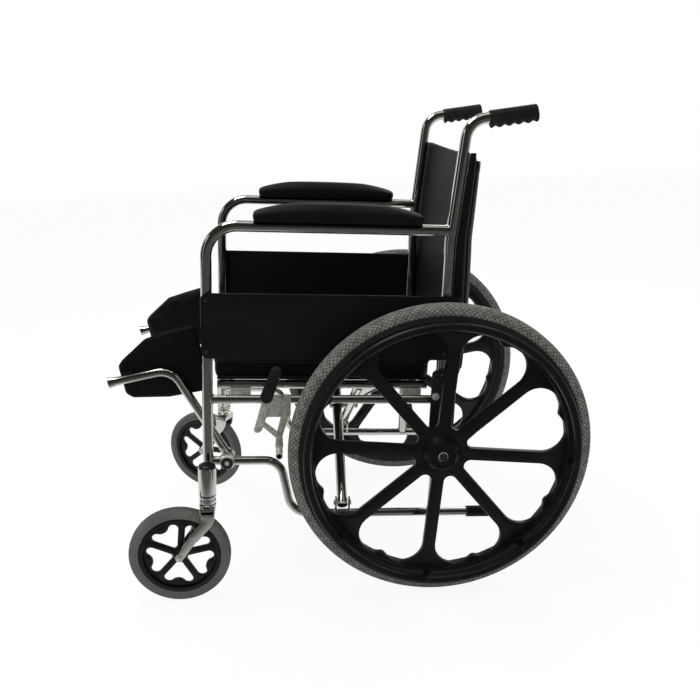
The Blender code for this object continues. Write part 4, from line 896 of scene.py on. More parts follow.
def push_grip(name, side):
    rings = [(0.0, TUBE_RADIUS + 0.0004, 0.0), (-0.0006, GRIP_RADIUS - 0.0012, 0.0)]
    for k in range(81):
        share = k / 80
        edge = min(share, 1 - share) * GRIP_LENGTH
        round_off = 0.0018 * max(0.0, 1 - edge / 0.0025) ** 2
        ridge = GRIP_RIDGE * (0.45 + 0.55 * abs(math.cos(math.pi * 5 * share)) ** 1.6)
        rings.append((GRIP_LENGTH * share, GRIP_RADIUS - round_off, ridge))
    rings += [(GRIP_LENGTH + 0.0006, GRIP_RADIUS - 0.0035, GRIP_RIDGE * 0.75),
              (GRIP_LENGTH + 0.0006, 0.0045, 0.0), (GRIP_LENGTH - 0.006, 0.0040, 0.0)]
    points = []
    for distance, radius, ridge in rings:
        along, rise = handle_point(GRIP_START + distance)
        for angle in around(GRIP_SIDES):
            reach = radius + ridge * max(0.0, -math.sin(angle)) ** 0.8
            up = reach * math.sin(angle)
            points.append(Vector((along - up * math.sin(HANDLE_SLOPE),
                                  side * POST_SIDE + reach * math.cos(angle),
                                  rise + up * math.cos(HANDLE_SLOPE))))
    last = list(range(len(points) - GRIP_SIDES, len(points)))
    build(f"scalloped_grip_{name}", (points, strips(len(rings), GRIP_SIDES) + [last]),
          "black_rubber", f"{name}_side", [f"push_grip_{name}"])


def rail_ferrule(name, side):
    inner = RAIL_RADIUS + GAP
    outer = inner + FERRULE_WALL
    start, end = LOW_RAIL_END - 0.048, LOW_RAIL_END + 0.009
    profile = [(0.0, LOW_RAIL_END + GAP), (inner, LOW_RAIL_END + GAP), (inner, start),
               (outer - 0.0006, start)]
    for k in range(FERRULE_RIBS):
        along = start + 0.003 + k * 0.0042
        profile += [(outer - 0.0002, along), (outer, along + 0.0012), (outer, along + 0.0026),
                    (outer - 0.0009, along + 0.0032)]
    profile += [(outer, end - 0.003), (outer - 0.0008, end - 0.0008), (outer - 0.003, end),
                (0.0, end)]
    shape = turned(profile, 40, "X", (0.0, side * POST_SIDE, LOW_RAIL_RISE))
    build(f"rail_ferrule_{name}", shape, "black_rubber", f"{name}_side", [f"rail_tip_{name}"])


on_both_sides(push_grip, rail_ferrule)
print("grips and ferrules moulded")

# %% [markdown]
# The rear tyres are grey rubber with a diamond tread. The tread is real geometry: the lathe ring
# has six points to every diamond, and two families of slanting grooves lower the points on them.
# The wheels are single nylon mouldings, drawn as a plate pierced by heart-shaped windows with a
# rim ring and a stepped hub.

# %% Rear tyres
def diamond_groove(angle, radius, along):
    """How far the tread is cut away at a place: full depth on two crossing sets of lines."""
    turn = angle * TREAD_DIAMONDS / math.tau
    lean = (abs(along) + WHEEL_RADIUS - radius) / TREAD_PITCH
    near = min(abs((turn + lean) % 1.0 - 0.5), abs((turn - lean) % 1.0 - 0.5))
    fade = max(0.0, min(1.0, (radius - 0.2840) / 0.0030))
    return -0.0013 * fade * max(0.0, 1 - near * 6)


def rear_wheel_place(side):
    return Matrix.Translation((AXLE.x, side * WHEEL_SIDE, AXLE.z))


def rear_tyre(name, side):
    crown = []
    for k in range(-8, 9):
        across = k * TREAD_PITCH / 6
        fall = 0.0045 * max(0.0, (abs(across) - 0.005) / 0.009) ** 2
        crown.append((WHEEL_RADIUS - fall, -across))
    wall = [(0.2990, 0.0155), (0.2973, 0.0162), (0.2950, 0.0168), (0.2920, 0.0173),
            (0.2890, 0.0175), (0.2862, 0.0174), (0.2835, 0.0173), (0.2790, 0.0163),
            (0.2745, 0.0146), (0.2722, 0.0144), (0.2703, 0.0128)]
    shape = turned(wall[::-1] + crown + flipped(wall, -1), TREAD_DIAMONDS * 6,
                   ripple=diamond_groove)
    build(f"diamond_tyre_{name}", shape, "grey_rubber", f"rear_wheel_{name}",
          [f"rear_tyre_{name}"], rear_wheel_place(side), 50, TREAD)


on_both_sides(rear_tyre)
print("tread diamonds around", TREAD_DIAMONDS)

# %% Moulded wheels
REAR_SPOKES = 8
SPOKES_TURN = math.radians(8)


def heart(middle, spokes, spoke_width, lobe_radius, reach, tip_radius, cusp_radius, points):
    """A heart-shaped window between two spokes, round the wheel's centre."""
    half_sector, half_width = math.pi / spokes, spoke_width / 2
    lobe_distance = reach - lobe_radius
    lobe_angle = half_sector - math.asin((half_width + lobe_radius) / lobe_distance)
    lobe = (lobe_distance * math.cos(lobe_angle), lobe_distance * math.sin(lobe_angle))
    tip = ((half_width + tip_radius) / math.sin(half_sector), 0.0)
    across = math.sqrt((lobe_radius + cusp_radius) ** 2 - lobe[1] ** 2)
    leave = math.atan2(lobe[1], across)
    upper = arc(tip, tip_radius, math.pi, half_sector + math.pi / 2, points)
    upper += arc(lobe, lobe_radius, half_sector + math.pi / 2, -leave, points * 3)
    upper += arc((lobe[0] + across, 0.0), cusp_radius, math.pi - leave, math.pi, points)[1:]
    outline = upper + [(a, -b) for a, b in reversed(upper[1:-1])]
    turn = Matrix.Rotation(middle, 2)
    return [tuple(turn @ Vector(point)) for point in outline]


def windows(spokes, first, **form):
    return [heart(first + math.tau * (k + 0.5) / spokes, spokes, **form) for k in range(spokes)]


def circle(radius, steps, middle=(0.0, 0.0)):
    return arc(middle, radius, 0.0, math.tau, steps + 1)[:-1]


def rear_wheel(name, side):
    holes = windows(REAR_SPOKES, side * SPOKES_TURN, spoke_width=0.026, lobe_radius=0.043,
                    reach=0.2545, tip_radius=0.013, cusp_radius=0.011, points=9)
    web = cut_sheet(circle(0.262, 192), holes, 0.014, 0.0030)
    rim = turned(mirrored([(0.2562, 0.0149), (0.2698, 0.0149)]), 192, ease=0.0026)
    lip = turned(mirrored([(0.2540, 0.0092), (0.2585, 0.0092)]), 192, ease=0.0016)
    hub = [(0.0, 0.0225), (0.0150, 0.0225), (0.0165, 0.0208), (0.0225, 0.0208), (0.0240, 0.0229),
           (0.0280, 0.0229), (0.0300, 0.0205), (0.0350, 0.0130), (0.0395, 0.0068)]
    hub = turned(mirrored(hub), 96, ease=0.0010)
    build(f"moulded_wheel_{name}", joined(web, rim, lip, hub), "black_plastic",
          f"rear_wheel_{name}", [f"rear_wheel_{name}"], rear_wheel_place(side))


on_both_sides(rear_wheel)
print("moulded wheels with", REAR_SPOKES, "windows each")

# %% [markdown]
# The push rim is a ring that a hand turns the wheel by. It stands off the wheel on eight short
# legs, one on each spoke, moulded with it, and a flush screw holds each leg to the rim.

# %% Push rims
RING_RADIUS = 0.2685
RING_TUBE = 0.0080
RING_SIDE = 0.0385


def push_rim(name, side):
    tube = circle(RING_TUBE, 20, (RING_RADIUS, side * RING_SIDE))
    leg = cut_sheet(oblong((0.2600, -0.007), (0.2670, 0.007), 0.0025), (), 0.0232, 0.0010)
    leg = shifted(leg, 0.0, side * 0.0269)
    screw = dome_head((RING_RADIUS - 0.0030, side * (RING_SIDE + 0.0068), 0.0), 0.0028, 0.0011,
                      side)
    stands = [Matrix.Rotation(-(side * SPOKES_TURN + a), 4, "Y") for a in around(REAR_SPOKES)]
    legs, screws = ([moved(shape, stand) for stand in stands] for shape in (leg, screw))
    body, place = f"rear_wheel_{name}", rear_wheel_place(side)
    build(f"hand_ring_{name}", joined(turned(tube, 192), *legs), "black_plastic", body,
          [f"push_rim_{name}"], place)
    build(f"ring_screws_{name}", joined(*screws), "black_steel", body, (), place)


on_both_sides(push_rim)
print("push rims on", REAR_SPOKES, "legs each")

# %% [markdown]
# A plate with a row of holes is bolted to each back post, and the rear axle goes through the
# lowest hole. The other holes are for a higher or lower seat. The axle is a plated bolt with a
# collar inside and a nut outside the hub.

# %% Axle plates and axles
AXLE_HOLES = ((0.0, 0.0), (0.024, 0.030), (0.024, 0.060), (0.024, 0.090), (0.024, 0.120))
AXLE_BOLTS = ((BACK_POST_ALONG - 0.012, 0.096), (BACK_POST_ALONG, -0.028),
              (BACK_POST_ALONG, 0.140))


def axle_plate(name, side):
    outline = oblong((BACK_POST_ALONG - 0.021, -0.042), (BACK_POST_ALONG + 0.030, 0.152), 0.011)
    holes = [circle(0.0063, 24, place) for place in AXLE_HOLES]
    sheet = shifted(cut_sheet(outline, holes, 0.005, 0.0009), 0.0, side * (FRAME_FACE + 0.003))
    body = f"{name}_side"
    build(f"axle_sheet_{name}", sheet, "black_steel", body, [f"axle_plate_{name}"])
    bolts = [washered_head((along, side * (FRAME_FACE + 0.0055), rise), side, 0.0078, 0.0012,
                           0.0058, 0.0042) for along, rise in AXLE_BOLTS]
    build(f"axle_sheet_bolt_{name}", bolts[0], "zinc_steel", body)
    build(f"axle_sheet_nuts_{name}", joined(*bolts[1:]), "black_steel", body)


def rear_axle(name, side):
    inner, hub_inner, hub_outer = FRAME_FACE, WHEEL_SIDE - 0.024, WHEEL_SIDE + 0.024
    end = hub_outer + 0.0012
    shaft = [(0.0, inner), (0.006, inner), (0.006, 0.2425), (0.0105, 0.2440), (0.0105, 0.2480),
             (0.0080, 0.2500), (0.0080, 0.2680), (0.0105, 0.2700), (0.0105, hub_inner),
             (0.0052, hub_inner), (0.0052, hub_outer), (0.0098, hub_outer), (0.0098, end),
             (0.0, end)]
    body = f"{name}_side"
    build(f"axle_bolt_{name}", turned(flipped(shaft, side), 48, ease=0.0004), "zinc_steel", body,
          [f"rear_axle_{name}"])
    build(f"axle_nut_{name}", hex_head((0.0, side * end, 0.0), 0.0088, 0.0062, facing=side),
          "black_steel", body)


on_both_sides(axle_plate, rear_axle)
print("axles carried on their plates")

# %% [markdown]
# A caster wheel trails behind a swivel stem that turns in a chromed barrel. The right one is
# turned outward by 25 degrees, as it was left. The swivel frame below follows that turn, and the
# wheel's own frame stands upright again, because the stem leans with the frame.

# %% Caster frames
CASTER_SIDE = 0.258
CASTER_TRAIL = 0.058
CASTER_FLATS = 32
CASTER_HALF_TREAD = 0.006
CASTER_AHEAD = 0.5415
CASTER_TURN = {"left": 0.0, "right": math.radians(25)}
CASTER_SPOKES = 5
CASTER_SPOKES_AT = {"left": math.radians(81), "right": 0.0}
CASTER_HEIGHT = 0.104 * math.cos(math.pi / CASTER_FLATS)
wheel_spot = LEANING.inverted() @ Vector((AXLE.x - CASTER_AHEAD, 0.0, CASTER_HEIGHT))
CASTER_RISE = wheel_spot.z
STEM_ALONG = wheel_spot.x + CASTER_TRAIL
HOUSING_FOOT_RISE = -0.108
CROWN_TOP_RISE = -0.133


def caster_frames(name, side):
    """Where a fork swivels, and where the wheel stands in it."""
    turn = CASTER_TURN[name]
    camber = math.asin(math.sin(FRAME_LEAN) * math.sin(turn))
    reach_down = CASTER_HEIGHT * math.cos(camber) + CASTER_HALF_TREAD * math.sin(camber)
    middle = LEANING @ Vector((STEM_ALONG - CASTER_TRAIL * math.cos(turn), 0.0, CASTER_RISE))
    sunk = (reach_down - middle.z) / math.cos(FRAME_LEAN)
    stem = Matrix.Translation((STEM_ALONG, side * CASTER_SIDE, sunk))
    swivel = LEANING @ stem @ Matrix.Rotation(-side * turn, 4, "Z")
    upright = -math.atan(math.tan(FRAME_LEAN) * math.cos(turn))
    hub = Matrix.Translation((-CASTER_TRAIL, 0.0, CASTER_RISE))
    return swivel, swivel @ hub @ Matrix.Rotation(upright, 4, "Y")


for side_name, side_sign in SIDES.items():
    spot = caster_frames(side_name, side_sign)[1].translation
    print(side_name, "caster wheel centre", [round(v, 4) for v in spot])


# %% Caster barrels and forks
def hull(discs, points=12):
    """The outline round discs (along, rise, radius) strung one after another."""
    def leaving(first, second):
        run = Vector(second[:2]) - Vector(first[:2])
        return math.atan2(run.y, run.x) - math.acos((first[2] - second[2]) / run.length)

    outline = []
    loop = list(discs) + list(discs[-2:0:-1])
    for before, disc, after in neighbours(loop):
        arrive = leaving(before, disc)
        sweep = (leaving(disc, after) - arrive) % math.tau
        if sweep > math.radians(200):
            half = (sweep - math.tau) / 2
            reach = disc[2] / math.cos(half)
            outline.append((disc[0] + reach * math.cos(arrive + half),
                            disc[1] + reach * math.sin(arrive + half)))
            continue
        outline += arc(disc[:2], disc[2], arrive, arrive + sweep,
                       max(2, round(points * sweep / math.pi)))
    return outline


def caster_barrel(name, side):
    centre, body = (STEM_ALONG, side * CASTER_SIDE, 0.0), f"{name}_side"
    profile = [(0.007, -0.060), (0.007, HOUSING_FOOT_RISE), (0.0165, HOUSING_FOOT_RISE),
               (0.0180, -0.1065), (0.0180, -0.0500), (0.0172, -0.048), (0.007, -0.048)]
    lug = oblong((STEM_ALONG - 0.008, POST_FOOT_RISE), (STEM_ALONG + 0.008, -0.052), 0.003)
    lug = shifted(cut_sheet(lug, (), 0.0125, 0.0008), 0.0, side * (FRAME_FACE + 0.0060))
    build(f"caster_barrel_{name}", joined(turned(profile, 48, "Z", centre, 0.0006), lug),
          "chrome_steel", body, [f"caster_housing_{name}"])
    cap = [(0.0, -0.0485), (0.0166, -0.0485), (0.0166, -0.0450), (0.0120, -0.0424),
           (0.0, -0.0420)]
    build(f"barrel_cap_{name}", turned(cap, 48, "Z", centre, 0.0010), "black_plastic", body)


FORK_INNER, FORK_PLATE = 0.018, 0.004


def fork_leg():
    """One curved leg of the fork, wide at the crown and narrow at the axle."""
    low = CROWN_TOP_RISE - 0.013
    spine = rounded([Vector((0.0, CROWN_TOP_RISE - 0.004, 0.0)), Vector((0.0015, low - 0.016, 0.0)),
                     Vector((-0.0300, CASTER_RISE + 0.042, 0.0)),
                     Vector((-CASTER_TRAIL, CASTER_RISE, 0.0))], 0.030, math.radians(10))
    last = len(spine) - 1
    front, rear = [], []
    for k, (x, z, _) in enumerate(spine):
        half_width = 0.0150 - 0.0068 * k / last
        run = (spine[min(k + 1, last)] - spine[max(k - 1, 0)]).normalized()
        front.append((x + run.y * half_width, z - run.x * half_width))
        rear.append((x - run.y * half_width, z + run.x * half_width))
    down = math.atan2(run.y, run.x)
    tip = arc((-CASTER_TRAIL, CASTER_RISE), half_width, down - math.pi / 2, down + math.pi / 2, 12)
    return cut_sheet(front + tip[1:-1] + rear[::-1], (), FORK_PLATE, 0.0018)


def caster_fork(name, side):
    swivel, body = caster_frames(name, side)[0], f"caster_fork_{name}"
    collar = HOUSING_FOOT_RISE - 0.001
    stem = turned([(0.0, -0.062), (0.0065, -0.062), (0.0065, collar), (0.0168, collar),
                   (0.0172, -0.1105), (0.0172, -0.1130), (0.0145, -0.1140), (0.0145, -0.1180),
                   (0.0168, -0.1190), (0.0168, -0.1235), (0.0150, -0.1245), (0.0150, -0.1275),
                   (0.0172, -0.1290), (0.0172, -0.137), (0.0, -0.137)], 48, "Z", ease=0.0005)
    crown = cut_sheet(oblong((-0.016, -0.022), (0.016, 0.022), 0.004), (), 0.013, 0.0016)
    crown = shifted(moved(crown, FLAT), 0.0, 0.0, CROWN_TOP_RISE - 0.0065)
    legs = [shifted(fork_leg(), 0.0, facing * (FORK_INNER + FORK_PLATE / 2)) for facing in (-1, 1)]
    build(f"swivel_fork_{name}", joined(stem, crown, *legs), "chrome_steel", body, [body], swivel)
    reach = FORK_INNER + FORK_PLATE
    bolt = turned(rod(0.004, -reach, reach), 24, centre=(-CASTER_TRAIL, 0.0, CASTER_RISE))
    heads = [washered_head((-CASTER_TRAIL, facing * reach, CASTER_RISE), facing, 0.0075, 0.0010,
                           0.0060, 0.0036) for facing in (-1, 1)]
    build(f"caster_bolt_{name}", joined(bolt, *heads), "zinc_steel", body, (), swivel)


on_both_sides(caster_barrel, caster_fork)
print("caster forks hung in their barrels")


# %% Caster wheels
def caster_wheel(name, side):
    wheel, body = caster_frames(name, side)[1], f"caster_wheel_{name}"
    wall = [(0.0843, 0.0110), (0.0870, 0.0122), (0.0900, 0.0136), (0.0935, 0.0140),
            (0.0970, 0.0137), (0.1000, 0.0124), (0.1022, 0.0102), (0.1035, 0.0075),
            (0.1040, 0.0040), (0.1040, 0.0014), (0.1030, 0.0008)]
    build(f"caster_tread_ring_{name}", turned(mirrored(wall), 128), "grey_rubber", body,
          [f"caster_tyre_{name}"], wheel, 50)
    holes = windows(CASTER_SPOKES, CASTER_SPOKES_AT[name], spoke_width=0.0135, lobe_radius=0.0100,
                    reach=0.0690, tip_radius=0.005, cusp_radius=0.0180, points=8)
    web = cut_sheet(circle(0.078, 128), holes, 0.009, 0.0018)
    rim = turned(mirrored([(0.0752, 0.0109), (0.0838, 0.0109)]), 128, ease=0.0018)
    hub = [(0.0043, 0.0170), (0.0100, 0.0170), (0.0122, 0.0150), (0.0135, 0.0080),
           (0.0168, 0.0044)]
    hub = turned(mirrored(hub), 64, ease=0.0010)
    build(f"caster_moulding_{name}", joined(web, rim, hub), "black_plastic", body, [body], wheel)


on_both_sides(caster_wheel)
print("caster wheels with", CASTER_SPOKES, "windows each")

# %% [markdown]
# The parking brake is a stack of flat steel links beside the seat rail: bracket, shoe arm, link
# and hand lever, each on the rivet of the one behind it. Every layer is cut as sheet with eased
# edges, and the sleeve on the lever is thick sheet with a large edge radius.

# %% Brake layers
SHEET = 0.0028
LAYER_STEP = SHEET + GAP
BRAKE_INNER = POST_SIDE + RAIL_RADIUS + 0.0005
ARM_INNER, LINK_INNER, LEVER_INNER = (BRAKE_INNER + LAYER_STEP * k for k in (1, 2, 3))
LEVER_PIVOT, LEVER_PIN, LEVER_TOP = (-0.3655, 0.0260), (-0.3570, 0.0400), (-0.3290, 0.1500)
SHOE_PIVOT, SHOE_PIN, SHOE_PLACE = (-0.3080, 0.0660), (-0.3215, 0.0100), (-0.3215, -0.0120)
SHOE_LENGTH = 0.054
SLEEVE_FOOT_RISE = 0.088


def layer(outline, side, inner, edge=0.0006, thickness=SHEET):
    return shifted(cut_sheet(outline, (), thickness, edge), 0.0, side * (inner + thickness / 2))


def crosswise(profile, side, place, steps=28, ease=0.0):
    """A lathe shape on an axis that runs outward through a place on the side frame."""
    return turned(flipped(profile, side), steps, centre=(place[0], 0.0, place[1]), ease=ease)


def rivet(place, side, start, end):
    """A rivet's shank with its head on the outside."""
    return crosswise([(0.0, start), (0.0025, start), (0.0025, end), (0.0050, end),
                      (0.0046, end + 0.0009), (0.0028, end + 0.0015), (0.0, end + 0.0016)],
                     side, place)


def parking_brake(name, side):
    x, z = LEVER_PIVOT
    low, high, far = UPPER_RAIL_RISE - 0.034, UPPER_RAIL_RISE + 0.013, SHOE_PIVOT[0] + 0.009
    corners = [(x - 0.008, z - 0.008), (x + 0.008, z - 0.008), (x + 0.018, low), (far, low),
               (far, high), (x + 0.012, high)]
    straps = [turned([(0.0091, a - 0.0045), (0.0091, a + 0.0045), (0.0106, a + 0.0045),
                      (0.0106, a - 0.0045)], 40, "X", (0.0, side * POST_SIDE, UPPER_RAIL_RISE),
                     0.0004) for a in (-0.344, -0.307)]
    bracket = joined(layer(rounded_outline(corners, 0.006), side, BRAKE_INNER), *straps,
                     rivet(LEVER_PIVOT, side, BRAKE_INNER, LEVER_INNER + LAYER_STEP),
                     rivet(SHOE_PIVOT, side, BRAKE_INNER, LINK_INNER))
    build(f"brake_plate_{name}", bracket, "zinc_steel", f"{name}_side", [f"brake_bracket_{name}"])
    arm = hull([(*SHOE_PIVOT, 0.008), (*SHOE_PIN, 0.0065), (*SHOE_PLACE, 0.0082)])
    end, body = ARM_INNER + SHOE_LENGTH, f"brake_shoe_{name}"
    bar = crosswise(rod(0.0058, ARM_INNER + 0.001, end), side, SHOE_PLACE, 32, 0.0008)
    arm = joined(layer(arm, side, ARM_INNER), bar, rivet(SHOE_PIN, side, ARM_INNER, LEVER_INNER))
    build(f"brake_arm_{name}", arm, "zinc_steel", body, [body])
    start = ARM_INNER + 0.020
    sleeve = [(0.0, start), (0.0063, start), (0.0070, start + 0.0008)]
    for k in range(5):
        along = start + 0.004 + k * 0.0056
        sleeve += [(0.0070, along), (0.0062, along + 0.0010), (0.0062, along + 0.0020),
                   (0.0070, along + 0.0030)]
    sleeve += [(0.0070, end - 0.0008), (0.0062, end), (0.0, end)]
    build(f"brake_shoe_sleeve_{name}", crosswise(sleeve, side, SHOE_PLACE, 32), "zinc_steel", body)
    link = hull([(*LEVER_PIN, 0.0055), (*SHOE_PIN, 0.0064)])
    link = joined(layer(link, side, LINK_INNER),
                  rivet(LEVER_PIN, side, LINK_INNER, LEVER_INNER + LAYER_STEP))
    body = f"brake_link_{name}"
    build(f"brake_strut_{name}", link, "zinc_steel", body, [body])
    lever = hull([(*LEVER_PIVOT, 0.0070), (*LEVER_TOP, 0.0060)])
    top = LEVER_INNER + 0.001
    boss = crosswise([(0.0027, ARM_INNER), (0.0027, top), (0.005, top), (0.005, ARM_INNER)],
                     side, LEVER_PIVOT)
    body = f"brake_lever_{name}"
    build(f"brake_hand_lever_{name}", joined(layer(lever, side, LEVER_INNER), boss), "zinc_steel",
          body, [body])
    share = (SLEEVE_FOOT_RISE - z) / (LEVER_TOP[1] - z)
    root = x + share * (LEVER_TOP[0] - x)
    sleeve = hull([(root, SLEEVE_FOOT_RISE + 0.010, 0.0125), (*LEVER_TOP, 0.0105)], 24)
    sleeve = layer(sleeve, side, LEVER_INNER - GAP, 0.0060, 0.0173)
    build(f"lever_sleeve_{name}", sleeve, "black_rubber", body)


on_both_sides(parking_brake)
print("brakes riveted, layers from", round(BRAKE_INNER, 4), "to", round(LEVER_INNER, 4))

# %% [markdown]
# Each leg support is a bent tube on a clamp at the front rail. Its far end is open, flared and
# rolled, because a footplate's stem slides into it. The tube is lofted along its path with the
# bore as a second skin, so that the mouth is really hollow.

# %% Leg supports
LEG_SIDE = 0.197
LEG_PIVOT, LEG_KNEE, LEG_END = (-0.4270, -0.050), (-0.5375, 0.1370), (-0.6600, 0.1080)
LEG_TUBE_RADIUS = 0.0090
LEG_SLOPE = math.atan2(LEG_KNEE[1] - LEG_END[1], LEG_KNEE[0] - LEG_END[0])
MOUTH_FLARE, MOUTH_BORE = 0.0025, 0.0068


def mouthed_tube(path, radius, flare, bore, sides=36):
    """A tube whose last end is flared and open, with the wall's inside drawn as far as it shows."""
    mouth = (path[-2] - path[-1]).normalized()
    path = path[:-1] + [path[-1] + mouth * reach for reach in (0.045, 0.016, 0.006, 0.0)]
    radii = [radius] * (len(path) - 2) + [radius + flare * 0.55, radius + flare]
    outside = bent_tube(path, radii, sides)
    inside = bent_tube(path[-4:], [bore, bore, bore + flare * 0.55, bore + flare], sides)
    points, faces = joined((outside[0], outside[1][:-1]), (inside[0], inside[1][:-1]))
    outer, inner = len(outside[0]) - sides, len(points) - sides
    for k in range(sides):
        m = (k + 1) % sides
        faces.append([outer + k, outer + m, inner + m, inner + k])
    return points, faces, path[-1], mouth


def leg_support(name, side):
    along, frame = LEG_PIVOT[0], f"{name}_side"
    corners = [(a, side * LEG_SIDE, b) for a, b in (LEG_PIVOT, LEG_KNEE, LEG_END)]
    points, faces, end, mouth = mouthed_tube(rounded(corners, 0.042), LEG_TUBE_RADIUS, MOUTH_FLARE,
                                             MOUTH_BORE)
    lip = moved(turned(circle(0.0011, 12, (0.0106, 0.0)), 48),
                Matrix.Translation(end) @ mouth.to_track_quat("Y", "Z").to_matrix().to_4x4())
    eye = turned(band(0.0045, 0.0130, -0.0095, 0.0095), 48, centre=corners[0], ease=0.0012)
    build(f"leg_tube_{name}", joined((points, faces), lip, eye), "chrome_steel", f"legrest_{name}",
          [f"legrest_tube_{name}"])
    inner = LEG_SIDE + LEG_TUBE_RADIUS + 0.001
    start, end = along - 0.014, along + 0.014
    clamp = turned(band(0.0093, 0.0130, start, end), 44, "X",
                   (0.0, side * POST_SIDE, FRONT_RAIL_RISE), 0.0010)
    reach = POST_SIDE - 0.0105 - inner
    lug = cut_sheet(oblong((start + 0.002, -0.0085), (end - 0.002, 0.0085), 0.004), (), reach,
                    0.0012)
    lug = shifted(lug, 0.0, side * (inner + reach / 2), FRONT_RAIL_RISE)
    ear = cut_sheet(oblong((start + 0.003, -0.0165), (end - 0.003, -0.0110), 0.002), (), 0.0022,
                    0.0005)
    ears = [shifted(ear, 0.0, side * (POST_SIDE + d), FRONT_RAIL_RISE) for d in (-0.0030, 0.0030)]
    bolt = turned(rod(0.0022, -0.0085, 0.0085), 20,
                  centre=(along, side * POST_SIDE, FRONT_RAIL_RISE - 0.0140))
    build(f"leg_clamp_{name}", joined(clamp, lug, *ears, bolt), "zinc_steel", frame,
          [f"legrest_clamp_{name}"])
    stud = crosswise([(0.0, inner - 0.0250), (0.0060, inner - 0.0250), (0.0075, inner - 0.0235),
                      (0.0075, inner - 0.0205), (0.004, inner - 0.0205), (0.004, inner + 0.002),
                      (0.0, inner + 0.002)], side, LEG_PIVOT)
    washer = crosswise(band(0.0056, 0.0122, POST_SIDE + 0.0120, POST_SIDE + 0.0160), side,
                       (along, FRONT_RAIL_RISE), 40, 0.0012)
    build(f"leg_stud_{name}", joined(stud, washer), "black_steel", frame)
    nut = hex_head((along, side * (POST_SIDE + 0.0122), FRONT_RAIL_RISE), 0.0054, 0.0046,
                   facing=side)
    build(f"leg_nut_{name}", nut, "zinc_steel", frame)


on_both_sides(leg_support)
print("leg supports clamped, knees at", LEG_KNEE)

# %% [markdown]
# The folding cross is two tubes on one bolt. Each tube's foot turns on a side frame and its head
# carries the opposite seat tube, stiffened by a flared gusset plate. In use the seat tubes drop
# into saddle blocks on the seat rails, which the plates below show in section.

# %% Cross brace
SEAT_TUBE_RISE = 0.106
SEAT_TUBE_SIDE = 0.195
SEAT_TUBE_RADIUS = 0.009
SEAT_TUBE_ENDS = (-0.445, -0.020)
SADDLE_ALONG = {"front": -0.400, "rear": -0.052}
brace_rise, brace_reach = SEAT_TUBE_RISE - BRACE_PIVOT_RISE, POST_SIDE + SEAT_TUBE_SIDE
brace_tilt = math.atan2(brace_rise, brace_reach)
brace_span = math.hypot(brace_rise, brace_reach)


def cross_arm(letter, side, along, facing):
    pivot = Vector((along, side * POST_SIDE, BRACE_PIVOT_RISE))
    heading = Vector((0.0, -side * math.cos(brace_tilt), math.sin(brace_tilt)))
    top = brace_span - SEAT_TUBE_RADIUS
    tube = bent_tube([pivot - heading * 0.006, pivot + heading * top], BRACE_TUBE_RADIUS, 36)
    low = POST_SIDE / math.cos(brace_tilt) + 0.012
    stretch = top - 0.004 - low
    root = BRACE_TUBE_RADIUS * 0.8
    edge = [(root + 0.048 * (0.06 + 0.94 * (k / 20) ** 1.8), low + stretch * k / 20)
            for k in range(21)]
    outline = [(facing * a, b) for a, b in [(root, low)] + edge + [(root, low + stretch)]]
    lean = Matrix.Rotation(side * (math.pi / 2 - brace_tilt), 4, "X")
    gusset = moved(cut_sheet(outline, (), 0.003, 0.0008), Matrix.Translation(pivot) @ lean)
    body = f"cross_arm_{letter}"
    build(f"brace_tube_{letter}", joined(tube, gusset), "chrome_steel", body, [body])
    where = "left" if side > 0 else "right"
    ends = [(end, -side * SEAT_TUBE_SIDE, SEAT_TUBE_RISE) for end in SEAT_TUBE_ENDS]
    build(f"seat_bar_{where}", bent_tube(ends, SEAT_TUBE_RADIUS), "chrome_steel", body,
          [f"seat_tube_{where}"])
    plugs = [turned([(0.0, 0.0), (0.0088, 0.0), (0.0082, f * 0.0022), (0.0, f * 0.0030)], 36, "X",
                    end, 0.0005) for end, f in zip(ends, (-1, 1))]
    build(f"seat_bar_plugs_{where}", joined(*plugs), "black_plastic", body)


def centre_bolt():
    rise = BRACE_PIVOT_RISE + POST_SIDE * math.tan(brace_tilt)
    reach = BRACE_TUBE_RADIUS + GAP
    front, near = BRACE_ALONG["left"] - reach, BRACE_ALONG["left"] + reach
    far, rear = BRACE_ALONG["right"] - reach, BRACE_ALONG["right"] + reach
    shaft = [(0.0, front), (0.004, front), (0.004, near), (0.008, near), (0.008, far),
             (0.004, far), (0.004, rear), (0.0, rear)]
    shapes = [turned(shaft, 32, "X", (0.0, 0.0, rise), 0.0003)]
    for place, facing in ((front, -1), (rear, 1)):
        washer = flipped(rod(0.0085, 0.0, 0.0014), facing)
        shapes.append(turned(washer, 36, "X", (place, 0.0, rise), 0.0003))
        head = hex_head((0, 0, 0), 0.0072, 0.0046, "X", facing)
        shapes.append(shifted(head, place + facing * 0.0014, 0.0, rise))
    build("cross_bolt", joined(*shapes), "zinc_steel", "cross_arm_a", ["centre_bolt"])


def saddles(name, side):
    trough = SEAT_TUBE_RADIUS + GAP
    back, front = POST_SIDE - RAIL_RADIUS - GAP, SEAT_TUBE_SIDE - trough - 0.002
    top, low = SEAT_TUBE_RISE - 0.004, UPPER_RAIL_RISE - 0.008
    half = math.acos((SEAT_TUBE_RISE - top) / trough)
    cup = arc((SEAT_TUBE_SIDE, SEAT_TUBE_RISE), trough * 1.01, -math.pi / 2 + half,
              -math.pi / 2 - half, 16)
    outline = [(front, low), (back, low), (back, top)] + cup + [(front, top)]
    block = cut_sheet([(side * y, z) for y, z in outline], (), 0.040, 0.0009)
    for end, along in SADDLE_ALONG.items():
        screws = [dome_head((along + d, side * (front + 0.0002), (top + low) / 2), 0.0040, 0.0018,
                            -side) for d in (-0.012, 0.012)]
        build(f"saddle_block_{end}_{name}", joined(shifted(moved(block, ACROSS), along), *screws),
              "zinc_steel", f"{name}_side", [f"seat_saddle_{end}_{name}"])


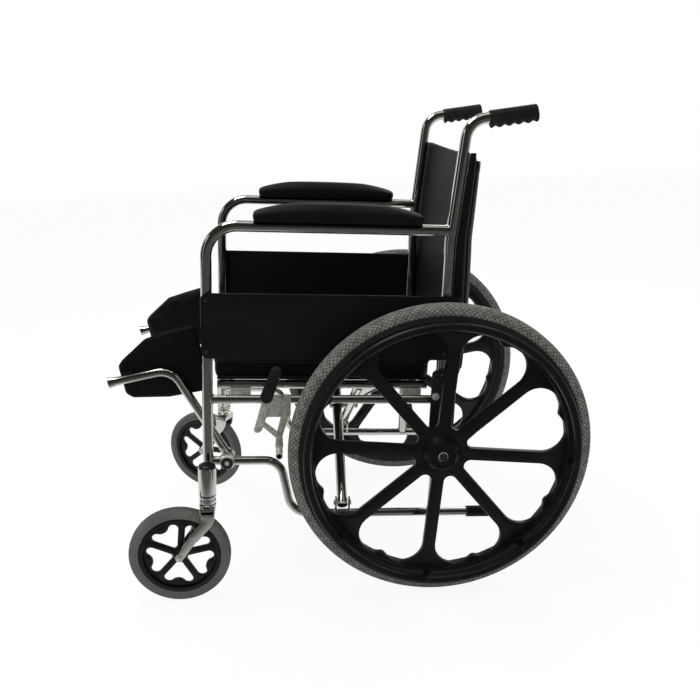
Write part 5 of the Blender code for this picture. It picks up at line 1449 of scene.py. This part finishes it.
cross_arm("a", 1, BRACE_ALONG["right"], 1)
cross_arm("b", -1, BRACE_ALONG["left"], -1)
centre_bolt()
on_both_sides(saddles)
print("cross tilts by", round(math.degrees(brace_tilt), 1), "degrees")

# %% [markdown]
# The side panel keeps clothes off the wheel. It is a flat black moulded sheet with rounded edges,
# held on the posts by four screws with spacers. Its outer face is plain.

# %% Side panels
def side_panel(name, side):
    inner, body = FRAME_FACE + 0.0025, f"{name}_side"
    low, high = (FRONT_POST_ALONG - 0.008, 0.173), (BACK_POST_ALONG + 0.028, 0.304)
    sheet = cut_sheet(oblong(low, high, 0.014), (), 0.0040, 0.0018)
    sheet = shifted(sheet, 0.0, side * (inner + 0.0020))
    places = [(along_at(rise), rise) for along_at in (front_post_along, back_post_along)
              for rise in (low[1] + 0.014, high[1] - 0.014)]
    spacer = rod(0.006, FRAME_FACE - 0.001, inner + 0.001)
    spacers = [crosswise(spacer, side, place, 32) for place in places]
    screws = [dome_head((along, side * (inner + 0.0039), rise), 0.0042, 0.0014, side)
              for along, rise in places]
    build(f"clothes_guard_{name}", joined(sheet, *spacers), "black_plastic", body,
          [f"side_panel_{name}"])
    build(f"guard_screws_{name}", joined(*screws), "black_steel", body)


on_both_sides(side_panel)
print("side panels screwed on")

# %% [markdown]
# The padding is real cloth work. A cover is drawn a little too small, remeshed to an even grid
# and blown up by Blender's cloth solver for twenty frames, with gravity off. A cap says how far
# any point may go, and a resting face keeps flat. Channels and seams are pressed in afterwards.

# %% Blowing up a cover
FILLING_FRAMES = 20


def evaluated(made):
    made.update_tag()
    graph = bpy.context.evaluated_depsgraph_get()
    return bpy.data.meshes.new_from_object(made.evaluated_get(graph))


def blown_up(name, shape, voxel, cap, resting, spread=0.3, pressure=4.0):
    """Points and faces of a cover after its filling has pushed it out by up to the cap.

    The spread is the share of the movement in the cover's own plane that is kept: a board
    inside the cover holds its outline.
    """
    start = mesh_object(f"{name}_cover", shape, Matrix(), 180)
    remesh = start.modifiers.new("even_grid", "REMESH")
    remesh.mode = "VOXEL"
    remesh.voxel_size = voxel
    grid = swollen = evaluated(start)
    start.modifiers.clear()
    start.data = grid
    before = [vertex.co.copy() for vertex in grid.vertices]
    cloth = start.modifiers.new("filling", "CLOTH")
    cloth.settings.quality = 5
    cloth.settings.use_pressure = True
    cloth.settings.uniform_pressure_force = pressure
    cloth.settings.effector_weights.gravity = 0.0
    for number in range(1, FILLING_FRAMES + 1):
        bpy.context.scene.frame_set(number)
    swollen = evaluated(start)
    start.modifiers.clear()
    bpy.context.scene.frame_set(1)
    points = []
    for old, vertex in zip(before, swollen.vertices):
        move = vertex.co - old
        if move.length > cap:
            move *= cap / move.length
        points.append(resting(old, old + Vector((move.x * spread, move.y * spread, move.z))))
    faces = [list(polygon.vertices) for polygon in swollen.polygons]
    bpy.data.objects.remove(start)
    return points, faces


def upholstered(name, shape, body, stands_for, place):
    """A padded piece from a blown up cover, with one subdivision for an even sheen."""
    made = mesh_object(name, shape, place, 180)
    finer = made.modifiers.new("finer", "SUBSURF")
    finer.levels = finer.render_levels = 1
    finer.subdivision_type = "CATMULL_CLARK"
    mesh = evaluated(made)
    made.modifiers.clear()
    made.data = mesh
    mesh.shade_smooth()
    return dressed(made, "black_vinyl", body, stands_for)


def slab(outline, low, high, edge):
    """A flat slab from an outline, with rounded upper and lower edges, to blow up from."""
    levels = [(edge, low), (0.3 * edge, low + 0.3 * edge), (0.0, low + edge), (0.0, high - edge),
              (0.3 * edge, high - 0.3 * edge), (edge, high)]
    points = [Vector((p.x, p.y, height)) for amount, height in levels
              for p in inset(outline, amount)]
    return lofted(points, len(outline))


def cushion_outline(middle, half_length, half_width, radius):
    low, high = (middle - half_length, -half_width), (middle + half_length, half_width)
    return [Vector(point) for point in oblong(low, high, radius)]


def seam_loop(made, outline, height, place=LEANING):
    """An outline at one height, laid onto the piece's side where the seam runs."""
    loop = []
    for x, y in outline:
        _, spot, normal, _ = made.closest_point_on_mesh(place @ Vector((x, y, height)))
        loop.append(place.inverted() @ (spot + normal * 0.0004))
    return loop


def piping(path, radius=0.0019, sides=10):
    """A round cord in the seam, closed on itself."""
    points, upward = [], Vector((0, 0, 1))
    for before, point, after in neighbours(path):
        ahead = (after - before).normalized()
        first = ahead.orthogonal() if abs(ahead.z) > 0.9 else ahead.cross(upward)
        first.normalize()
        points += ring(point, first, ahead.cross(first), radius, sides)
    return points, strips(len(path), sides, closed=True)


def stitches(path, length=0.0042, gap=0.0016, radius=0.0004):
    """A row of short raised stitches along a path, each a slim bar with tapered ends."""
    shapes, travelled = [], 0.0
    for start, end in zip(path, path[1:]):
        run = (end - start).length
        ahead = (end - start).normalized()
        while travelled < run:
            first = start + ahead * travelled
            bar = [first + ahead * length * share for share in (0.0, 0.2, 0.8, 1.0)]
            shapes.append(bent_tube(bar, [radius * 0.5, radius, radius, radius * 0.5], 6))
            travelled += length + gap
        travelled -= run
    return joined(*shapes)


def sewn(name, rows, follow):
    """Stitching along rows, which follows its cloth."""
    thread = mesh_object(name, joined(*[stitches(row) for row in rows]), LEANING, 60)
    dressed(thread, "black_vinyl", None, (), THREAD)
    follow(thread)


print("cloth helpers ready")

# %% [markdown]
# The seat is a padded cushion over both seat tubes, with its underside kept flat. Sewn channels run
# across it.

# %% Seat cushion
SEAT_FRONT, SEAT_BACK, SEAT_HALF_WIDTH = -0.455, -0.012, 0.199
SEAT_BASE = SEAT_TUBE_RISE + SEAT_TUBE_RADIUS + 0.0015
SEAT_TOP = SEAT_BASE + 0.046
SEAT_MIDDLE = (SEAT_FRONT + SEAT_BACK) / 2
SEAT_CHANNELS = [SEAT_FRONT + (SEAT_BACK - SEAT_FRONT) * k / 5 for k in range(1, 5)]
SEAT_SPARE = 0.001
SEAM_STEP = 0.006


def seat_rest(old, point):
    """The underside stays flat on the tubes."""
    point.z = max(point.z, SEAT_BASE)
    if old.z < SEAT_BASE + 0.004:
        point.z = SEAT_BASE + max(0.0, old.z - SEAT_BASE) * 0.5
    return point


def channelled(point):
    """Presses the sewn channels into the cushion's top and lets the edge between them puff."""
    inside = 1 - (abs(point.y) / SEAT_HALF_WIDTH) ** 10
    upper = max(0.0, min(1.0, (point.z - SEAT_TOP + 0.020) / 0.012))
    press = sum(math.exp(-(((point.x - place) / 0.0065) ** 2)) for place in SEAT_CHANNELS)
    return Vector((point.x, point.y, point.z - 0.0055 * press * upper * max(0.0, inside)))


def blend_seat(made):
    """Bakes the piece's place into its points."""
    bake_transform(made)


def seat_cushion():
    outline = cushion_outline(SEAT_MIDDLE, (SEAT_BACK - SEAT_FRONT) / 2 + SEAT_SPARE,
                              SEAT_HALF_WIDTH + SEAT_SPARE, 0.022)
    shape = slab(outline, SEAT_BASE, SEAT_TOP - 0.0005, 0.008)
    points, faces = blown_up("seat", shape, 0.006, 0.011, seat_rest)
    made = upholstered("seat_pad", ([channelled(p) for p in points], faces), None,
                       ["seat_cushion"], LEANING)
    blend_seat(made)
    return made


def surface_row(made, row, lift):
    """The row's points dropped onto a piece from above, in the leaning frame."""
    down, back = (LEANING.to_3x3() @ Vector((0, 0, -1))), LEANING.inverted()
    found = []
    for point in row:
        above = LEANING @ Vector((point.x, point.y, SEAT_TOP + 0.1))
        hit, place, normal, _ = made.ray_cast(above, down)
        if hit:
            found.append(back @ (place + normal * lift))
    return found


seat_pad = seat_cushion()
channel_rows = [[Vector((place, -0.182 + 0.364 * k / 40, 0.0)) for k in range(41)]
                for place in SEAT_CHANNELS]
sewn("seat_stitching", [surface_row(seat_pad, row, 0.0002) for row in channel_rows], blend_seat)
seam, corners = [], cushion_outline(SEAT_MIDDLE, 0.223, 0.201, 0.024)
for a, b in zip(corners, corners[1:] + corners[:1]):
    steps = max(1, round((b - a).length / SEAM_STEP))
    seam += [a.lerp(b, k / steps) for k in range(steps)]
welts = [bent_tube([(SEAT_FRONT + 0.008 + 0.427 * k / 40, side_sign * 0.2012, SEAT_BASE + 0.0052)
                    for k in range(41)], 0.0035, 14) for side_sign in (-1, 1)]
seat_seam = piping(seam_loop(seat_pad, seam, SEAT_BASE + 0.036))
seat_cord = mesh_object("seat_piping", joined(seat_seam, *welts), LEANING, 60)
dressed(seat_cord, "black_vinyl", None)
blend_seat(seat_cord)
print("seat cushion", len(seat_pad.data.vertices), "points,", len(SEAT_CHANNELS), "channels")

# %% [markdown]
# The back is a padded sheet that goes from post to post and hangs a little between them, lower in
# the middle of its top edge. It is drawn as a grid, front and rear, that follows the reclined
# posts. The whole of it rides on the right side frame.

# %% Back
BACK_LOW_RISE, BACK_HIGH_RISE, BACK_HALF_WIDTH = 0.128, 0.578, 0.2340
BACK_SEAMS = (0.07, 0.93)


def back_point(across, height, depth):
    """A place on the back: across -1 to 1, height 0 to 1, depth 0 in front and 1 behind."""
    rise = BACK_LOW_RISE + (BACK_HIGH_RISE - BACK_LOW_RISE) * height
    bow = 1 - across**2
    belly = 0.022 * bow * (0.6 + 0.4 * math.sin(math.pi * height))
    reach = TUBE_RADIUS + 0.001
    beside = max(0.0, BACK_HALF_WIDTH * abs(across) - POST_SIDE) / 2
    clear = math.sqrt(reach**2 - beside**2) / math.cos(BACK_RECLINE)
    start = back_post_along(rise) + clear + belly
    thick = 0.031 - 0.013 * height
    brink = abs(2 * height - 1) ** 26
    edge = min(1.0, abs(across) ** 18 + brink)
    share = (1 - 0.35 * edge) * depth + 0.12 * brink * (1 - depth)
    return Vector((start + thick * share, BACK_HALF_WIDTH * across, rise - 0.008 * bow * height**6))


def grid_skin(columns, rows, place):
    """A closed skin from a front and a rear grid, joined round the edge."""
    def at(depth, i, j):
        return (depth * (columns + 1) + i) * (rows + 1) + j

    points, faces = [], []
    for depth in (0, 1):
        points += [place(2 * i / columns - 1, j / rows, depth)
                   for i in range(columns + 1) for j in range(rows + 1)]
        faces += [[at(depth, i, j), at(depth, i + 1, j), at(depth, i + 1, j + 1),
                   at(depth, i, j + 1)] for i in range(columns) for j in range(rows)]
    border = [(i, 0) for i in range(columns)] + [(columns, j) for j in range(rows)]
    border += [(i, rows) for i in range(columns, 0, -1)] + [(0, j) for j in range(rows, 0, -1)]
    for a, b in zip(border, border[1:] + border[:1]):
        faces.append([at(0, *a), at(0, *b), at(1, *b), at(1, *a)])
    return points, faces


def crumple(made):
    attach(made, "right_side")
    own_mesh(made)


def quilted(across, height, depth):
    """The back with two faint sewn lines across its front."""
    point = back_point(across, height, depth)
    if depth == 0:
        press = sum(math.exp(-(((height - line) / 0.012) ** 2)) for line in BACK_SEAMS)
        point.x += 0.0016 * press
    return point


back_pad = mesh_object("back_pad", grid_skin(96, 90, quilted), LEANING, 180)
dressed(back_pad, "black_vinyl", None, ["back_sling"])
crumple(back_pad)
back_rows = [[back_point(-0.93 + 1.86 * k / 60, height, 0.0) + Vector((0.0013, 0, 0))
              for k in range(61)] for height in BACK_SEAMS]
sewn("back_stitching", back_rows, crumple)
print("back", [round(v, 3) for v in back_pad.dimensions])

# %% [markdown]
# A flat pocket is sewn to the rear of the back on three sides, open at the top with a hem. It is
# one sheet of coated cloth that stands off a little at its mouth.

# %% Pocket
POCKET_LOW_RISE, POCKET_TOP_RISE, POCKET_HALF_WIDTH = 0.150, 0.563, 0.2220


def pocket_point(across, height, depth):
    rise = POCKET_LOW_RISE + (POCKET_TOP_RISE - POCKET_LOW_RISE) * height
    share = (rise - BACK_LOW_RISE) / (BACK_HIGH_RISE - BACK_LOW_RISE)
    base = back_point(POCKET_HALF_WIDTH * across / BACK_HALF_WIDTH, share, 1.0)
    stand = 0.0095 * (1 - abs(across) ** 8) * (1 - (1 - height) ** 6)
    hem = 0.0008 if height > 0.955 else 0.0
    return base + Vector((0.0006 + stand + depth * (0.0016 + hem), 0.0, 0.0))


pocket = mesh_object("back_pocket", grid_skin(80, 80, pocket_point), LEANING, 180)
dressed(pocket, "black_vinyl", None)
crumple(pocket)
rows = [[pocket_point(-0.97 + 1.94 * k / 60, h, 1.0) for k in range(61)] for h in (0.02, 0.945)]
rows += [[pocket_point(s * 0.965, 0.02 + 0.92 * k / 60, 1.0) for k in range(61)] for s in (-1, 1)]
sewn("pocket_stitching", rows, crumple)
print("pocket", [round(v, 3) for v in pocket.dimensions])

# %% [markdown]
# The arm pads and calf pads are small covers over foam. One of each is blown up and its mirror
# image serves the other side, which keeps the pair alike and halves the wait.

# %% Arm pads
PAD_FRONT, PAD_LENGTH, PAD_WIDTH = -0.375, 0.327, 0.055
PAD_BASE = ARM_RISE + TUBE_RADIUS + GAP
PAD_MIDDLE = PAD_FRONT + PAD_LENGTH / 2


def pad_rest(old, point):
    """The underside stays flat on the arm tube."""
    point.z = max(point.z, PAD_BASE)
    if old.z < PAD_BASE + 0.003:
        point.z = PAD_BASE
    return point


def pad_taper(point):
    """Thins the pad towards its ends and rounds its back."""
    a = (point.x - PAD_MIDDLE) / (PAD_LENGTH / 2)
    b = point.y / (PAD_WIDTH / 2)
    share = 1.0 - 0.30 * min(1.0, abs(a)) ** 4 - 0.10 * a * a
    share *= 1.0 - 0.16 * min(1.2, b * b)
    return Vector((point.x, point.y, PAD_BASE + (point.z - PAD_BASE) * share))


def arm_pad(name, side):
    mirror = Matrix.Diagonal((1.0, side, 1.0, 1.0))
    upholstered(f"arm_cushion_{name}", moved(arm_cover, mirror), f"{name}_side",
                [f"arm_pad_{name}"], LEANING)


pad_outline = cushion_outline(PAD_MIDDLE, PAD_LENGTH / 2 - 0.001, PAD_WIDTH / 2 - 0.001, 0.019)
points, faces = blown_up("arm", slab(pad_outline, PAD_BASE, PAD_BASE + 0.030, 0.007), 0.004, 0.006,
                         pad_rest)
arm_cover = shifted(([pad_taper(point) for point in points], faces), 0.0, POST_SIDE)
on_both_sides(arm_pad)
print("arm pads", len(points), "points each")

# %% Calf pads
CALF_FACE = LEG_TUBE_RADIUS + 0.0005
CALF_THICKNESS = 0.0235
CALF_HINGE_REACH = 0.105
CALF_CORNERS = [(-0.084, 0.025), (-0.084, -0.034), (-0.072, -0.046), (0.0, -0.061),
                (0.0875, -0.064), (0.0875, 0.0780), (0.026, 0.0750), (-0.016, 0.0710),
                (-0.072, 0.037)]
hinge_spot = (LEG_END[0] + CALF_HINGE_REACH * math.cos(LEG_SLOPE),
              LEG_END[1] + CALF_HINGE_REACH * math.sin(LEG_SLOPE))


def calf_frame(side):
    """The hinge on the leg tube, with the outward side as the pad's up."""
    hinge = Matrix.Translation((hinge_spot[0], side * LEG_SIDE, hinge_spot[1]))
    return LEANING @ hinge @ Matrix.Rotation(-LEG_SLOPE, 4, "Y")


def calf_rest(old, point):
    """The face on the tube stays flat."""
    point.z = min(point.z, -CALF_FACE)
    if old.z > -CALF_FACE - 0.003:
        point.z = -CALF_FACE
    return point


def calf_pad(name, side):
    stand = Matrix(((1, 0, 0, 0), (0, 0, side, 0), (0, 1, 0, 0), (0, 0, 0, 1)))
    frame, body = calf_frame(side), f"calf_pad_{name}"
    made = upholstered(f"calf_cushion_{name}", moved(calf_cover, stand), body, [body], frame)
    loop = seam_loop(made, inset(calf_outline, -0.004), -CALF_FACE - 0.0040, frame @ stand)
    cord = mesh_object(f"calf_piping_{name}", piping(loop, 0.0015), frame @ stand, 60)
    dressed(cord, "black_vinyl", body)


calf_outline = inset([Vector(point) for point in rounded_outline(CALF_CORNERS, 0.012)], 0.001)
calf_slab = slab(calf_outline, -CALF_FACE - CALF_THICKNESS + 0.005, -CALF_FACE, 0.006)
calf_cover = blown_up("calf", calf_slab, 0.004, 0.0055, calf_rest)
on_both_sides(calf_pad)
print("calf pads", len(calf_cover[0]), "points each")


# %% Calf pad clips
def calf_clips(name, side):
    trough, lip = LEG_TUBE_RADIUS + GAP, -CALF_FACE - 0.002
    cradle = [(-trough - 0.003, lip)]
    cradle += arc((0.0, 0.0), trough * 1.02, math.radians(185), math.radians(355), 24)
    cradle += [(trough + 0.003, lip)]
    sheet = moved(cut_sheet([(side * b, a) for a, b in cradle], (), 0.016, 0.0008), ACROSS)
    clips = [shifted(sheet, along) for along in (-0.066, -0.026)]
    build(f"calf_clips_{name}", joined(*clips), "black_plastic", f"calf_pad_{name}", (),
          calf_frame(side))


on_both_sides(calf_clips)
print("calf pads clipped to the leg tubes")

# %% [markdown]
# The last cell prints the sizes of both boxes, the CAD model's and this one's.

# %% Finish
visual_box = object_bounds()
for label, (low, high) in (("cad", cad_box), ("visual", visual_box)):
    print(label, [round(b - a, 4) for a, b in zip(low, high)])
